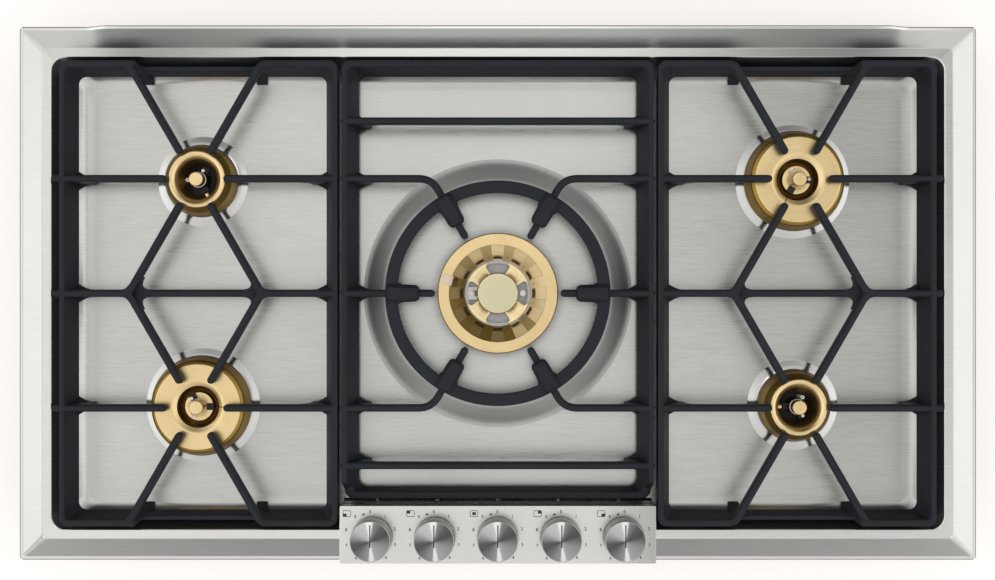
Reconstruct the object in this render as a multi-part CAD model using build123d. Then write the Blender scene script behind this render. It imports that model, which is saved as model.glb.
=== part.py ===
from build123d import *
import os
from math import cos, degrees, radians, sin, tan

# A built-in gas cooktop with five burners, in millimetres. X runs to the right and Y to the rear of the
# cooktop, Z is up. The origin is under the middle of the whole object, on the underside of the base pan.
# Everything is drawn about the middle of the rim and moved by frame_shift when it is written.

# Overall and rim
rim_width = 944.0
rim_depth = 526.0
rim_corner = 4.0
lip_width = 3.2
slope_run = 16.4
band_width = 9.0
band_sheet = 1.8
panel_overhang = 3.4
frame_shift = panel_overhang / 2

# Levels
base_sheet = 1.2
tray_sheet = 1.5
floor_z = 31.0
worktop_z = floor_z + 27.0
band_z = floor_z + 31.0
lip_z = floor_z + 40.0
rear_lip_z = floor_z + 49.0
support_top = floor_z + 44.0
panel_top = floor_z + 42.0

# Trough
opening_width = rim_width - 2 * (lip_width + slope_run + band_width)
opening_depth = rim_depth - 2 * (lip_width + slope_run + band_width)
opening_corner = 13.0
trough_foot = 26.1
trough_foot_depth = 21.4
rear_lip_half = 383.0
rear_lip_blend = 24.0
plateau_radius = 113.0
plateau_foot = 133.0
plateau_height = 10.0
collar_height = 3.0

# Burner places
burner_x = 299.0
burner_y = 113.3
small_places = {"left_rear": (-burner_x, burner_y), "right_front": (burner_x, -burner_y)}
large_places = {"left_front": (-burner_x, -burner_y), "right_rear": (burner_x, burner_y)}
side_kinds = {"small": small_places, "large": large_places}
cup_hole = {"small": 28.0, "large": 42.0, "wok": 46.0}
cup_radius = {"small": 27.0, "large": 40.0, "wok": 44.0}
cup_flange = {"small": 33.0, "large": 46.0, "wok": 52.0}
cup_neck = {"small": 14.0, "large": 18.0, "wok": 30.0}
collar_radius = {"small": 44.0, "large": 56.0}
electrode_angle = {"left_rear": 180, "right_front": 60, "left_front": 240, "right_rear": 120}

side_seat = floor_z + collar_height
wok_seat = floor_z + plateau_height
cap_top = floor_z + 36.0
cap_radius = 7.1
arm_top = {"small": 17.0, "large": 23.0}
large_disc_top = floor_z + 20.0
pin_reach = 10.8
pin_radius = 2.0
sensor_radius = 1.6
wok_pin_reach = 25.0

# Pan supports
bar_width = 7.4
bar_depth = 10.0
bar_bevel = 1.6
low_bar_drop = 8.0
wall_bottom = floor_z + 8.0
wall_low_top = floor_z + 28.0
support_outer_x = 432.3
support_inner_x = 157.5
centre_half_x = 154.0
support_half_y = 229.9
centre_front_y = -206.5
finger_gap = 28.0
wok_finger_gap = 62.0
bar_overhang = 7.3
bent_bar_radius = 22.0
crossbar_y = 170.0
leg_length = 15.0
pad_height = 2.0
pad_radius = 3.5

# Wok ring
wok_ring_outer = 111.0
wok_ring_inner = 99.0
wok_ring_height = 8.0
saddle_inner = 79.0
saddle_outer = 109.5
saddle_width = 17.0
saddle_top_width = 11.0
saddle_height = 6.0
wok_directions = [0, 60, 120, 180, 240, 300]

# Control panel, knobs and taps
panel_width = 312.3
panel_rear_y = -209.3
panel_front_y = -rim_depth / 2 - panel_overhang
panel_wall = 3.0
knob_pitch = 61.9
knob_y = -240.3
knob_places = [knob_pitch * (number - 2) for number in range(5)]
knob_gap = 3.5
knob_height = 22.0
knob_top_radius = 19.6
knob_foot_radius = 20.4
push_travel = 3.0
spindle_radius = 3.0
plug_radius = 7.0
running_gap = 0.05
tap_half_width = 10.0
tap_front_y = -248.5
tap_rear_y = -228.0
tap_bottom = 28.0
tap_top = 56.0
outlet_z = 20.0
manifold_y = -220.0
manifold_z = 38.0
manifold_radius = 6.0
feed_radius = 3.0

# Base pan, inlet and fixing
base_width = 900.0
base_front_y = -250.0
base_rear_y = 238.0
pocket_x = 410.0
pocket_y = 205.0
pocket_width = 60.0
pocket_depth = 50.0
pocket_height = 16.0
inlet_radius = 10.48
inlet_length = 13.2
inlet_flange = 2.1
inlet_neck = 10.1
gland_bore = 4.5
seal_width = 8.0
seal_top = worktop_z + 3.5
seal_squeeze = 0.5

os.makedirs("parts", exist_ok=True)


# Helpers


def block(x_range, y_range, z_range):
    """A box between the given low and high values."""
    size = [high - low for low, high in (x_range, y_range, z_range)]
    middle = [(high + low) / 2 for low, high in (x_range, y_range, z_range)]
    return Pos(*middle) * Box(*size)


def turned(points, place=(0, 0)):
    """A solid turned about a vertical axis, from (radius, height) points."""
    outline = Polyline(*[(radius, 0, height) for radius, height in points], close=True)
    return Pos(place[0], place[1], 0) * revolve(make_face(outline), Axis.Z)


def disc(radius, z_range, place=(0, 0)):
    """A round disc or rod between two heights."""
    height = z_range[1] - z_range[0]
    return Pos(place[0], place[1], z_range[0] + height / 2) * Cylinder(radius, height)


def plate(width, depth, corner, z_range, centre=(0, 0)):
    """A rounded rectangular plate between two heights."""
    outline = Pos(centre[0], centre[1], z_range[0]) * RectangleRounded(width, depth, corner)
    return extrude(outline, z_range[1] - z_range[0])


def tapering(sections, centre=(0, 0)):
    """A solid through rounded rectangles given as (height, width, depth, corner)."""
    outlines = [
        Pos(centre[0], centre[1], height) * RectangleRounded(width, depth, corner)
        for height, width, depth, corner in sections
    ]
    return loft(outlines, ruled=True)


def tube_along(points, radius, bend):
    """A round bar along straight runs with rounded corners."""
    tube = Part()
    for edge in FilletPolyline(*points, radius=bend).edges():
        ring = Plane(origin=edge @ 0, z_dir=edge % 0) * Circle(radius)
        if edge.geom_type == GeomType.LINE:
            tube += extrude(ring, edge.length)
        else:
            turn_axis = Axis(edge.arc_center, (edge % 0).cross(edge % 1))
            tube += revolve(ring, turn_axis, degrees(edge.length / edge.radius))
    return tube


def polar(place, radius, angle):
    """The point at a distance and an angle in degrees from a place."""
    return (place[0] + radius * cos(radians(angle)), place[1] + radius * sin(radians(angle)))


def write(name, part):
    """Moves a sub-part into the object's frame and writes it under its name."""
    export_step(Pos(0, frame_shift, 0) * part, f"parts/{name}.step")


# Top tray


def rear_lip():
    """The raised rear edge: a steep slope that blends into the lower rim at both ends."""
    back = rim_depth / 2
    front = back - lip_width - slope_run
    crest = back - lip_width

    def section(x, top):
        points = [(x, front, band_z), (x, crest, top), (x, back, top), (x, back, band_z)]
        return make_face(Polyline(*points, close=True))

    lip = extrude(section(-rear_lip_half, rear_lip_z), amount=2 * rear_lip_half, dir=(1, 0, 0))
    for side in (-1, 1):
        high = section(side * rear_lip_half, rear_lip_z)
        low = section(side * (rear_lip_half + rear_lip_blend), lip_z)
        lip += loft([high, low], ruled=True)
    return lip


def plateau():
    """The raised round sheet under the wok burner, with a soft slope down to the trough floor."""
    middle = (plateau_radius + plateau_foot) / 2
    crest = floor_z + plateau_height
    upper = [
        (plateau_foot, floor_z),
        (middle + 6, floor_z + 1.4),
        (middle, floor_z + plateau_height / 2),
        (middle - 6, crest - 1.4),
        (plateau_radius, crest),
        (cup_hole["wok"], crest),
    ]
    lower = [(radius, height - tray_sheet) for radius, height in reversed(upper)]
    return turned(upper + lower)


def panel_notch(clearance):
    """The space that the control panel takes out of the tray and the seal."""
    half = panel_width / 2 + clearance
    return block((-half, half), (-rim_depth, panel_rear_y + clearance), (0, 2 * lip_z))


def well(grow, drop):
    """The trough's form with its sloping walls. grow widens it and drop lowers it, for the outside of the sheet."""
    return tapering([
        (floor_z - drop, opening_width - 2 * trough_foot + grow, opening_depth - 2 * trough_foot_depth + grow, 9),
        (floor_z + 2.2 - drop, opening_width - 42 + grow, opening_depth - 32.8 + grow, 10),
        (floor_z + 8 - drop, opening_width - 33 + grow, opening_depth - 24.8 + grow, 11),
        (band_z, opening_width + grow, opening_depth + grow, opening_corner),
    ])


def make_rim_frame():
    """The welded rim: an upright flange, a slope that falls inwards and the flat band round the trough."""
    slope_side = 2 * (lip_width + slope_run)
    inner = (rim_width - 2 * lip_width, rim_depth - 2 * lip_width)
    band = (rim_width - slope_side, rim_depth - slope_side)
    frame = plate(rim_width, rim_depth, rim_corner, (worktop_z, lip_z))
    frame -= tapering([(band_z, *band, 2.0), (lip_z, *inner, 2.0)])
    under_dish = tapering([(band_z - band_sheet, *band, 2.0), (lip_z - band_sheet, *inner, 2.0)])
    frame -= plate(*inner, 2.0, (worktop_z, lip_z - band_sheet)) - under_dish
    frame += rear_lip()
    frame -= well(2 * tray_sheet, tray_sheet)
    return frame - panel_notch(0.2)


def make_trough_sheet():
    """The sheet of the deep-drawn trough, with a hole under each burner and under the plateau."""
    sheet = well(2 * tray_sheet, tray_sheet) - well(0, 0)
    sheet -= disc(plateau_foot, (floor_z - 5, floor_z + 5))
    for kind, places in side_kinds.items():
        for place in places.values():
            sheet -= disc(cup_hole[kind], (floor_z - 5, floor_z + 10), place)
    return sheet - panel_notch(0.2)


def mitre_region(half_x, half_y, z_range, side):
    """The space of one wall of the trough between the mitres at its corners. half_x, half_y are outside, inside."""
    outside, inside = zip(half_x, half_y)
    corners = [outside, inside]
    if side in ("left", "right"):
        sign = 1 if side == "right" else -1
        corners = [(sign * x, y) for x, y in corners] + [(sign * x, -y) for x, y in reversed(corners)]
    else:
        sign = 1 if side == "rear" else -1
        corners = [(x, sign * y) for x, y in corners] + [(-x, sign * y) for x, y in reversed(corners)]
    outline = make_face(Polyline(*[(x, y, z_range[0]) for x, y in corners], close=True))
    return extrude(outline, amount=z_range[1] - z_range[0], dir=(0, 0, 1))


def make_trough_walls(sheet):
    """The sloping walls of the trough, mitred at its corners, in a rounded foot and a straight upper strip."""
    half_x = (opening_width / 2 + 0.3 * trough_foot, opening_width / 2 - 2 * trough_foot)
    half_y = (opening_depth / 2 + 0.3 * trough_foot_depth, opening_depth / 2 - 2 * trough_foot_depth)
    walls = []
    for z_range in ((floor_z, floor_z + 8), (floor_z + 8, band_z)):
        for side in ("left", "right", "rear", "front"):
            walls += (sheet & mitre_region(half_x, half_y, z_range, side)).solids()
    return Compound(walls)


def make_collar(kind, place):
    """The polished collar that lies on the trough's floor round a side burner."""
    radius = collar_radius[kind]
    hole = cup_hole[kind]
    top = floor_z + collar_height
    return turned([(hole, floor_z), (radius + 2, floor_z), (radius, top - 1), (radius - 1.5, top), (hole, top)], place)


write("rim_frame", make_rim_frame())
trough_sheet = make_trough_sheet()
trough_floor = trough_sheet & block((-rim_width, rim_width), (-rim_depth, rim_depth), (0, floor_z))
write("trough", Compound([*trough_floor.solids(), plateau()]))
write("trough_walls", make_trough_walls(trough_sheet))
collars = [make_collar(kind, place) for kind, places in side_kinds.items() for place in places.values()]
write("burner_collars", Compound(collars))


# Control panel


def make_control_panel():
    half = panel_width / 2
    rear_block_y = base_front_y + 1.8
    rear_block = plate(panel_width, panel_rear_y - rear_block_y, 1.5, (floor_z - 2, panel_top),
                       (0, (panel_rear_y + rear_block_y) / 2))
    depth = panel_rear_y - panel_front_y
    cap = plate(panel_width, depth, 1.5, (worktop_z, panel_top), (0, (panel_rear_y + panel_front_y) / 2))
    panel = cap + rear_block
    edges = panel.faces().sort_by(Axis.Z)[-1].edges()
    panel = chamfer(edges, 0.8)
    inside = half - panel_wall
    panel -= block((-inside, inside), (panel_front_y + panel_wall, panel_rear_y - panel_wall),
                   (0, panel_top - panel_wall))
    for x in knob_places:
        panel -= disc(spindle_radius + 2, (0, 2 * panel_top), (x, knob_y))
    return panel


write("control_panel", make_control_panel())


# Knobs, spindles, tap plugs and taps

knob_foot = panel_top + knob_gap
knob_top = knob_foot + knob_height
spindle_top = knob_top - 6.0
spindle_foot = tap_top - 12.0


def make_knob(x):
    profile = [(0, knob_foot), (knob_foot_radius - 0.6, knob_foot), (knob_foot_radius, knob_foot + 0.6),
               (knob_foot_radius, knob_foot + 3), (knob_top_radius, knob_top - 0.9),
               (knob_top_radius - 0.9, knob_top), (0, knob_top)]
    knob = turned(profile, (x, knob_y))
    knob -= disc(spindle_radius, (knob_foot - 1, spindle_top), (x, knob_y))
    pointer = block((x - 0.6, x + 0.6), (knob_y - 6, knob_y + 16), (knob_top - 0.5, knob_top + 1))
    return knob - pointer


def make_tap(x):
    tap = block((x - tap_half_width, x + tap_half_width), (tap_front_y, tap_rear_y), (tap_bottom, tap_top))
    tap += block((x - 7, x + 7), (knob_y, tap_rear_y), (outlet_z - 6, tap_bottom))
    stub = Rot(90, 0, 0) * Cylinder(4.0, 10.0)
    tap += Pos(x, tap_rear_y + 3, manifold_z) * stub
    return tap - disc(plug_radius + running_gap, (tap_bottom + 5.5, tap_top + 1), (x, knob_y))


def make_plug(x):
    place = (x, knob_y)
    plug = disc(plug_radius, (tap_bottom + 6, tap_top), place)
    plug += disc(plug_radius + 1.2, (tap_top, tap_top + 2), place)
    return plug - disc(spindle_radius + running_gap, (spindle_foot - push_travel - 1, tap_top + 3), place)


for number, x in enumerate(knob_places, 1):
    write(f"knob_{number}", make_knob(x))
    write(f"knob_spindle_{number}", disc(spindle_radius, (spindle_foot, spindle_top), (x, knob_y)))
    write(f"tap_plug_{number}", make_plug(x))
write("gas_taps", Compound([make_tap(x) for x in knob_places]))


# Gas manifold, supply pipe, inlet and feed pipes


def make_manifold():
    end = knob_places[-1] + 20
    tube = Pos(0, manifold_y, manifold_z) * Rot(0, 90, 0) * Cylinder(manifold_radius, 2 * end)
    for side in (-1, 1):
        x = side * knob_pitch / 2
        tube += block((x - 5, x + 5), (manifold_y - 4, manifold_y + 4), (base_sheet, manifold_z))
    for x in knob_places:
        tube -= Pos(x, tap_rear_y + 3, manifold_z) * Rot(90, 0, 0) * Cylinder(4.0, 10.0)
    drop = end - 4
    supply_z = pocket_height + 6
    supply_x = pocket_x + 20
    route = [(drop, manifold_y, manifold_z), (drop, manifold_y, supply_z), (supply_x, manifold_y, supply_z),
             (supply_x, pocket_y - 12 - 8, supply_z)]
    supply = tube_along(route, 4.5, 7)
    return tube + supply


def make_inlet():
    roof = pocket_height + base_sheet
    body = block((pocket_x - 14, pocket_x + 26), (pocket_y - 20, pocket_y + 14), (roof, roof + 10.5))
    place = (pocket_x, pocket_y)
    shoulder = pocket_height - inlet_flange
    body += disc(inlet_neck - 0.05, (shoulder, roof), place)
    body += disc(inlet_radius + 1.2, (shoulder, pocket_height), place)
    body += disc(inlet_radius, (shoulder - inlet_length, shoulder), place)
    return body - disc(7.0, (0, roof + 5), place)


cup_bottom = floor_z - 23


def make_feed_pipes():
    pipes = []
    start_y = tap_rear_y
    for side in (-1, 1):
        near_x = side * knob_pitch
        far_x = 2 * side * knob_pitch
        front_end = burner_x - (cup_radius["large"] if side < 0 else cup_radius["small"])
        rear_end = burner_x - (cup_radius["small"] if side < 0 else cup_radius["large"])
        front = [(far_x, start_y, outlet_z), (far_x, -burner_y, outlet_z), (side * front_end, -burner_y, outlet_z)]
        rear = [(near_x, start_y, outlet_z), (near_x, burner_y, outlet_z), (side * rear_end, burner_y, outlet_z)]
        pipes += [tube_along(front, feed_radius, 16), tube_along(rear, feed_radius, 16)]
    length = -cup_radius["wok"] - start_y
    pipes.append(Pos(0, start_y + length / 2, outlet_z) * Rot(90, 0, 0) * Cylinder(feed_radius, length))
    return Compound(pipes)


write("gas_manifold", make_manifold())
write("gas_inlet", make_inlet())
write("burner_feed_pipes", make_feed_pipes())


# Burners: a cup under the tray, a brass ring on it, and what stands in the ring


def make_cup(kind, place, seat_z):
    """The mixing cup: it hangs in the tray's hole by its flange and carries the brass ring."""
    radius = cup_radius[kind]
    flange = cup_flange[kind]
    neck = cup_neck[kind]
    top = seat_z + 4
    profile = [(0, cup_bottom), (radius, cup_bottom), (radius, seat_z), (flange, seat_z), (flange, seat_z + 2),
               (radius, top), (neck, top), (neck, top - 6), (0, top - 6)]
    return turned(profile, place)


def make_small_ring(place, seat_z):
    low = seat_z + 4
    profile = [(14.5, low), (36.8, low), (36.8, low + 2), (33.2, floor_z + 24), (28.6, floor_z + 32),
               (27.8, floor_z + 33), (21.6, floor_z + 30), (21.0, floor_z + 24), (18.4, floor_z + 22.5),
               (18.0, floor_z + 18), (14.5, floor_z + 16)]
    return turned(profile, place)


def make_large_ring(place, seat_z):
    low = seat_z + 4
    profile = [(20.6, low), (50.7, low), (50.7, low + 2.5), (45.6, floor_z + 26.5), (44.3, floor_z + 28),
               (25.5, floor_z + 28), (20.6, floor_z + 22)]
    return turned(profile, place)


def make_spider(place, angle):
    """The black hub of a small burner with two arms; the electrode stands where a third arm would be."""
    foot = side_seat - 2
    hub = turned([(0, foot), (8.2, foot), (8.2, floor_z + 22), (0, floor_z + 22)], place)
    for turn in (120, 240):
        arm = block((0, 13.2), (-3.2, 3.2), (floor_z + 13, floor_z + arm_top["small"]))
        hub += Pos(*place, 0) * Rot(0, 0, angle + turn) * arm
    return hub


def make_clips(place, angle):
    """The two black clips on the disc of a large burner, one at the spark gap and one under the flame sensor."""
    clip = block((8.3, 15.0), (-3.4, 3.4), (large_disc_top, floor_z + arm_top["large"]))
    return [Pos(*place, 0) * Rot(0, 0, angle + turn) * clip for turn in (120, 240)]


def make_small_cap(place):
    low = floor_z + 22
    return turned([(0, low), (4.6, low), (4.6, cap_top - 5), (cap_radius, cap_top - 2.5),
                   (cap_radius, cap_top - 0.6), (cap_radius - 0.6, cap_top), (0, cap_top)], place)


def make_large_cap(place, angle):
    """The brass centre of a large burner: a flat disc with the cap raised over its middle."""
    foot = side_seat - 2
    disc_top = large_disc_top
    cap = turned([(0, foot), (8.2, foot), (8.2, disc_top - 3), (14.2, disc_top - 2), (14.2, disc_top - 0.5),
                  (13.7, disc_top), (4.6, disc_top), (4.6, cap_top - 5), (cap_radius, cap_top - 2.5),
                  (cap_radius, cap_top - 0.6), (cap_radius - 0.6, cap_top), (0, cap_top)], place)
    return cap - disc(pin_radius + 0.3, (foot, disc_top + 1), polar(place, pin_reach, angle))


for name, place in small_places.items():
    write(f"burner_cup_{name}", make_cup("small", place, side_seat))
    write(f"burner_ring_{name}", make_small_ring(place, side_seat))
    write(f"burner_cap_{name}", make_small_cap(place))
spiders = [make_spider(place, electrode_angle[name]) for name, place in small_places.items()]
for name, place in large_places.items():
    spiders += make_clips(place, electrode_angle[name])
write("burner_spiders", Compound(spiders))
for name, place in large_places.items():
    write(f"burner_cup_{name}", make_cup("large", place, side_seat))
    write(f"burner_ring_{name}", make_large_ring(place, side_seat))
    write(f"burner_cap_{name}", make_large_cap(place, electrode_angle[name]))


# Wok burner: the outer ring has a cone with twelve ribs, a port in each rib and a slot between ribs

wok_top = floor_z + 30
wok_cone_low = floor_z + 15
rib_count = 12
wok_cone_outer = 48.7
wok_cone_inner = 33.2
wok_plate_radius = 32.0
wok_cap_radius = 20.0


def make_wok_ring():
    low = wok_seat + 4
    ring = turned([(wok_cone_inner, low), (58.5, low), (59.9, low + 2), (59.9, wok_top - 0.8), (59.1, wok_top),
                   (wok_cone_outer, wok_top), (wok_cone_inner, wok_cone_low)])
    recess = turned([(36.0, wok_cone_low + 1.6), (47.0, wok_top - 1.5), (47.0, wok_top - 3.4),
                     (36.0, wok_cone_low - 0.4)])
    slope = turned([(34.5, wok_cone_low - 2), (47.5, wok_top - 3.2), (47.5, wok_top + 4), (34.5, wok_top + 4)])
    sector_half = 34.0 * tan(radians(8.5))
    for number in range(rib_count):
        wedge = make_face(Polyline((30, -sector_half + 1, 0), (60, -sector_half * 1.7, 0),
                                   (60, sector_half * 1.7, 0), (30, sector_half - 1, 0), close=True))
        wedge = extrude(Pos(0, 0, low + 1) * wedge, 40)
        turn = Rot(0, 0, 360 / rib_count * number)
        ring -= turn * (wedge & slope)
        slot = block((34.8, 38.0), (-4.4, 4.4), (wok_cone_low - 2.2, wok_top))
        ring -= turn * slot
    notch = Rot(0, 0, 165) * block((40.0, 57.5), (-4.8, 4.8), (wok_top - 3.0, wok_top + 1))
    return ring - notch


def make_wok_plate():
    low = wok_seat + 4
    top = wok_cone_low + 1
    plate_body = turned([(0, low), (wok_plate_radius, low), (wok_plate_radius, top - 0.6),
                         (wok_plate_radius - 0.6, top), (0, top)])
    for angle in (0, 90, 180, 270):
        window = block((19.0, 30.5), (-9.5, 9.5), (low - 1, top + 1))
        window = fillet(window.edges().filter_by(Axis.Z), 3.5)
        plate_body -= Rot(0, 0, angle) * window
    return plate_body


def make_wok_cap():
    low = wok_cone_low + 1
    top = floor_z + 31
    return turned([(0, low), (17.0, low), (17.0, top - 4), (wok_cap_radius, top - 3), (wok_cap_radius, top - 0.8),
                   (wok_cap_radius - 0.8, top), (0, top)])


write("burner_cup_wok", make_cup("wok", (0, 0), wok_seat))
write("burner_ring_wok", make_wok_ring())
write("wok_inner_plate", make_wok_plate())
write("burner_cap_wok", make_wok_cap())


# Spark electrodes and flame sensors


def make_electrodes():
    """White ceramic sleeves, each with a thin spark tip."""
    pins = []
    places = [(polar(place, pin_reach, electrode_angle[name]), side_seat - 2)
              for kind in side_kinds.values() for name, place in kind.items()]
    places.append(((-wok_pin_reach, 0), wok_seat - 2))
    for place, low in places:
        sleeve_top = floor_z + 24
        tip = extrude(Pos(*place, sleeve_top) * RegularPolygon(0.8, 6), 4)
        pins.append(disc(pin_radius, (low, sleeve_top), place) + tip)
    return Compound(pins)


def make_sensors():
    """Flame sensors: a thin rod on the arm or disc beside each cap, and one in the wok burner."""
    rods = []
    for kind, places in side_kinds.items():
        low = floor_z + arm_top[kind]
        for name, place in places.items():
            spot = polar(place, pin_reach - 0.6, electrode_angle[name] + 240)
            rods.append(disc(sensor_radius, (low, low + 9), spot))
    spot = (wok_pin_reach, 0)
    rods.append(disc(3.0, (wok_seat - 2, floor_z + 18), spot) + disc(2.2, (floor_z + 18, floor_z + 24), spot))
    return Compound(rods)


# Pan supports


def flat_bar(start, end, top=support_top, depth=bar_depth):
    """A straight bar with round ends and a bevelled top edge."""
    run = Vector(*end) - Vector(*start)
    angle = Vector(1, 0).get_signed_angle(run, Vector(0, 0, 1))
    middle = (Vector(*start) + Vector(*end)) * 0.5
    outline = SlotCenterToCenter(run.length, bar_width)
    bar = extrude(outline, depth)
    bar = chamfer(bar.faces().sort_by(Axis.Z)[-1].edges(), bar_bevel)
    return Pos(middle.X, middle.Y, top - depth) * Rot(0, 0, angle) * bar


def leg_plate(x_wall, direction, y):
    """The leg under the root of a bar that runs along X: an upright web with a sloped gusset."""
    foot = floor_z + pad_height
    low_top = support_top - bar_depth
    points = [(0, wall_bottom + 2), (3, foot), (leg_length, foot), (leg_length, low_top - 9),
              (leg_length + 13, low_top + 1), (0, low_top + 1)]
    outline = make_face(Polyline(*[(x_wall + direction * u, y - bar_width / 2, z) for u, z in points], close=True))
    return extrude(outline, amount=bar_width, dir=(0, 1, 0))


def corner_leg(x, side, wall_y):
    """The leg where a slanted finger meets the front or rear wall."""
    foot = floor_z + pad_height
    low_top = support_top - bar_depth
    y_low, y_high = sorted((side * (wall_y - 17), side * (wall_y - 6.5)))
    return block((x - 5, x + 5), (y_low, y_high), (foot, low_top + 1))


def frame_wall(x_range, y_range, inner_draft):
    """The drafted wall round a support. inner_draft is how far its inner foot stands in at the X sides."""
    low_x, high_x = x_range
    low_y, high_y = y_range
    centre = ((low_x + high_x) / 2, (low_y + high_y) / 2)
    width = high_x - low_x
    depth = high_y - low_y
    top = support_top
    outer = tapering([(wall_bottom, width - 11.6, depth - 16.8, 12), (top, width, depth, 8)], centre)
    inner = tapering([(wall_bottom - 0.01, width - 2 * inner_draft, depth - 23.4, 8),
                      (top + 0.01, width - 11, depth - 14, 4)], centre)
    return outer - inner


def make_side_support(side):
    place_x = side * burner_x
    x_range = sorted((side * support_outer_x, side * support_inner_x))
    wall = frame_wall(x_range, (-support_half_y, support_half_y), 12.6)
    finger_run = burner_y / tan(radians(60))
    rail_y = support_half_y - bar_width / 2
    rail_run = (rail_y - burner_y) / tan(radians(60))
    low_cut_half = rail_run - 1
    wall -= block((place_x - low_cut_half, place_x + low_cut_half), (-rim_depth, rim_depth),
                  (wall_low_top, support_top + 1))
    support = wall
    outer_end = side * (support_outer_x + bar_overhang - bar_width / 2)
    inner_end = side * (support_inner_x + bar_width / 2)
    for level in (-1, 1):
        centre = (place_x, level * burner_y)
        support += flat_bar((outer_end, centre[1]), polar(centre, finger_gap + bar_width / 2, 0 if side > 0 else 180))
        support += flat_bar((inner_end, centre[1]), polar(centre, finger_gap + bar_width / 2, 180 if side > 0 else 0))
        for lean in (-1, 1):
            corner = (place_x + lean * rail_run, level * rail_y)
            node = (place_x + lean * finger_run, 0)
            to_rail = 90 * level - 30 * lean * level
            to_node = -to_rail
            support += flat_bar(corner, polar(centre, finger_gap + bar_width / 2, to_rail))
            support += flat_bar(node, polar(centre, finger_gap + bar_width / 2, to_node))
            support += corner_leg(corner[0] - lean * 3, level, support_half_y - 7)
    for level in (-1, 0, 1):
        support += leg_plate(outer_end - side * 14, -side, level * burner_y)
        support += leg_plate(inner_end + side * 12, side, level * burner_y)
    support += flat_bar((outer_end, 0), (place_x + side * finger_run, 0))
    support += flat_bar((inner_end, 0), (place_x - side * finger_run, 0))
    support += flat_bar((place_x - finger_run, 0), (place_x + finger_run, 0), support_top - low_bar_drop, 10)
    return support


def side_support_pads(side):
    place_x = side * burner_x
    outer_x = side * (support_outer_x + bar_overhang - bar_width / 2 - 14 - 10)
    inner_x = side * (support_inner_x + bar_width / 2 + 12 + 10)
    places = [(x, level * burner_y) for x in (outer_x, inner_x) for level in (-1, 0, 1)]
    rail_run = (support_half_y - bar_width / 2 - burner_y) / tan(radians(60))
    for lean in (-1, 1):
        x = place_x + lean * (rail_run - 3)
        places += [(x, level * (support_half_y - 7 - 14)) for level in (-1, 1)]
    return places


def make_pads(places, low_z=floor_z):
    pad = extrude(RegularPolygon(pad_radius, 8), floor_z + pad_height - low_z)
    return Compound([Pos(*place, low_z) * pad for place in places])


def bent_bar(side, level):
    """A bar from the side wall that bends smoothly towards the wok burner."""
    end = (side * (centre_half_x - 2), level * burner_y)
    corner = (side * burner_y / tan(radians(60)), level * burner_y)
    angle = 60 * level if side > 0 else 180 - 60 * level
    tip = polar((0, 0), wok_finger_gap + bar_width / 2, angle)
    strip = trace(FilletPolyline(end, corner, tip, radius=bent_bar_radius), line_width=bar_width)
    strip += Pos(*tip) * Circle(bar_width / 2)
    bar = extrude(Pos(0, 0, support_top - bar_depth) * strip, bar_depth)
    return chamfer(bar.faces().sort_by(Axis.Z)[-1].edges(), bar_bevel)


def make_centre_support():
    support = frame_wall((-centre_half_x, centre_half_x), (centre_front_y, support_half_y), 13.9)
    support -= block((-centre_half_x + 9, centre_half_x - 9), (-rim_depth, centre_front_y + 20),
                     (wall_low_top, support_top + 1))
    reach = centre_half_x + 1.4 - bar_width / 2
    for y in (-crossbar_y, crossbar_y):
        support += flat_bar((-reach, y), (reach, y))
    for side in (-1, 1):
        support += flat_bar((side * reach, 0), (side * (wok_finger_gap + bar_width / 2), 0))
        for level in (-1, 1):
            support += bent_bar(side, level)
        for y in (-crossbar_y, -burner_y, 0, burner_y, crossbar_y):
            support += leg_plate(side * (centre_half_x - 11), -side, y)
    return support


def centre_support_pads():
    x = centre_half_x - 11 - 10
    return [(side * x, y) for side in (-1, 1) for y in (-crossbar_y, crossbar_y)]


write("pan_support_left", make_side_support(-1))
write("pan_support_right", make_side_support(1))
write("pan_support_centre", make_centre_support())
write("support_feet_left", make_pads(side_support_pads(-1)))
write("support_feet_right", make_pads(side_support_pads(1)))
write("support_feet_centre", make_pads(centre_support_pads()))


def make_wok_ring_support():
    """The lift-off ring: a round rail broken by six saddles that straddle the fingers."""
    low = support_top - wok_ring_height + 2
    ring = turned([(wok_ring_inner, low), (wok_ring_outer, low), (wok_ring_outer, support_top + 1.2),
                   (wok_ring_outer - 0.8, support_top + 2), (wok_ring_inner + 0.8, support_top + 2),
                   (wok_ring_inner, support_top + 1.2)])
    half = saddle_width / 2
    top_half = saddle_top_width / 2
    shoulder = support_top + 1
    crown = support_top + saddle_height
    for angle in wok_directions:
        outline = [(-half, low), (half, low), (half, shoulder), (top_half, crown), (-top_half, crown),
                   (-half, shoulder)]
        face = make_face(Polyline(*[(saddle_inner, y, z) for y, z in outline], close=True))
        ring += Rot(0, 0, angle) * extrude(face, amount=saddle_outer - saddle_inner, dir=(1, 0, 0))
    for angle in wok_directions:
        gap = block((saddle_inner - 5, saddle_outer + 5), (-bar_width / 2 - 0.5, bar_width / 2 + 0.5),
                    (low - 1, support_top))
        ring -= Rot(0, 0, angle) * gap
    return ring


write("wok_ring", make_wok_ring_support())
write("spark_electrodes", make_electrodes())
write("flame_sensors", make_sensors())


# Base pan, seal, clamps, screws, ignition module and terminal box

rear_wall_inside = base_rear_y - base_sheet
gland_x = -380.0
gland_z = 22.0


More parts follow.
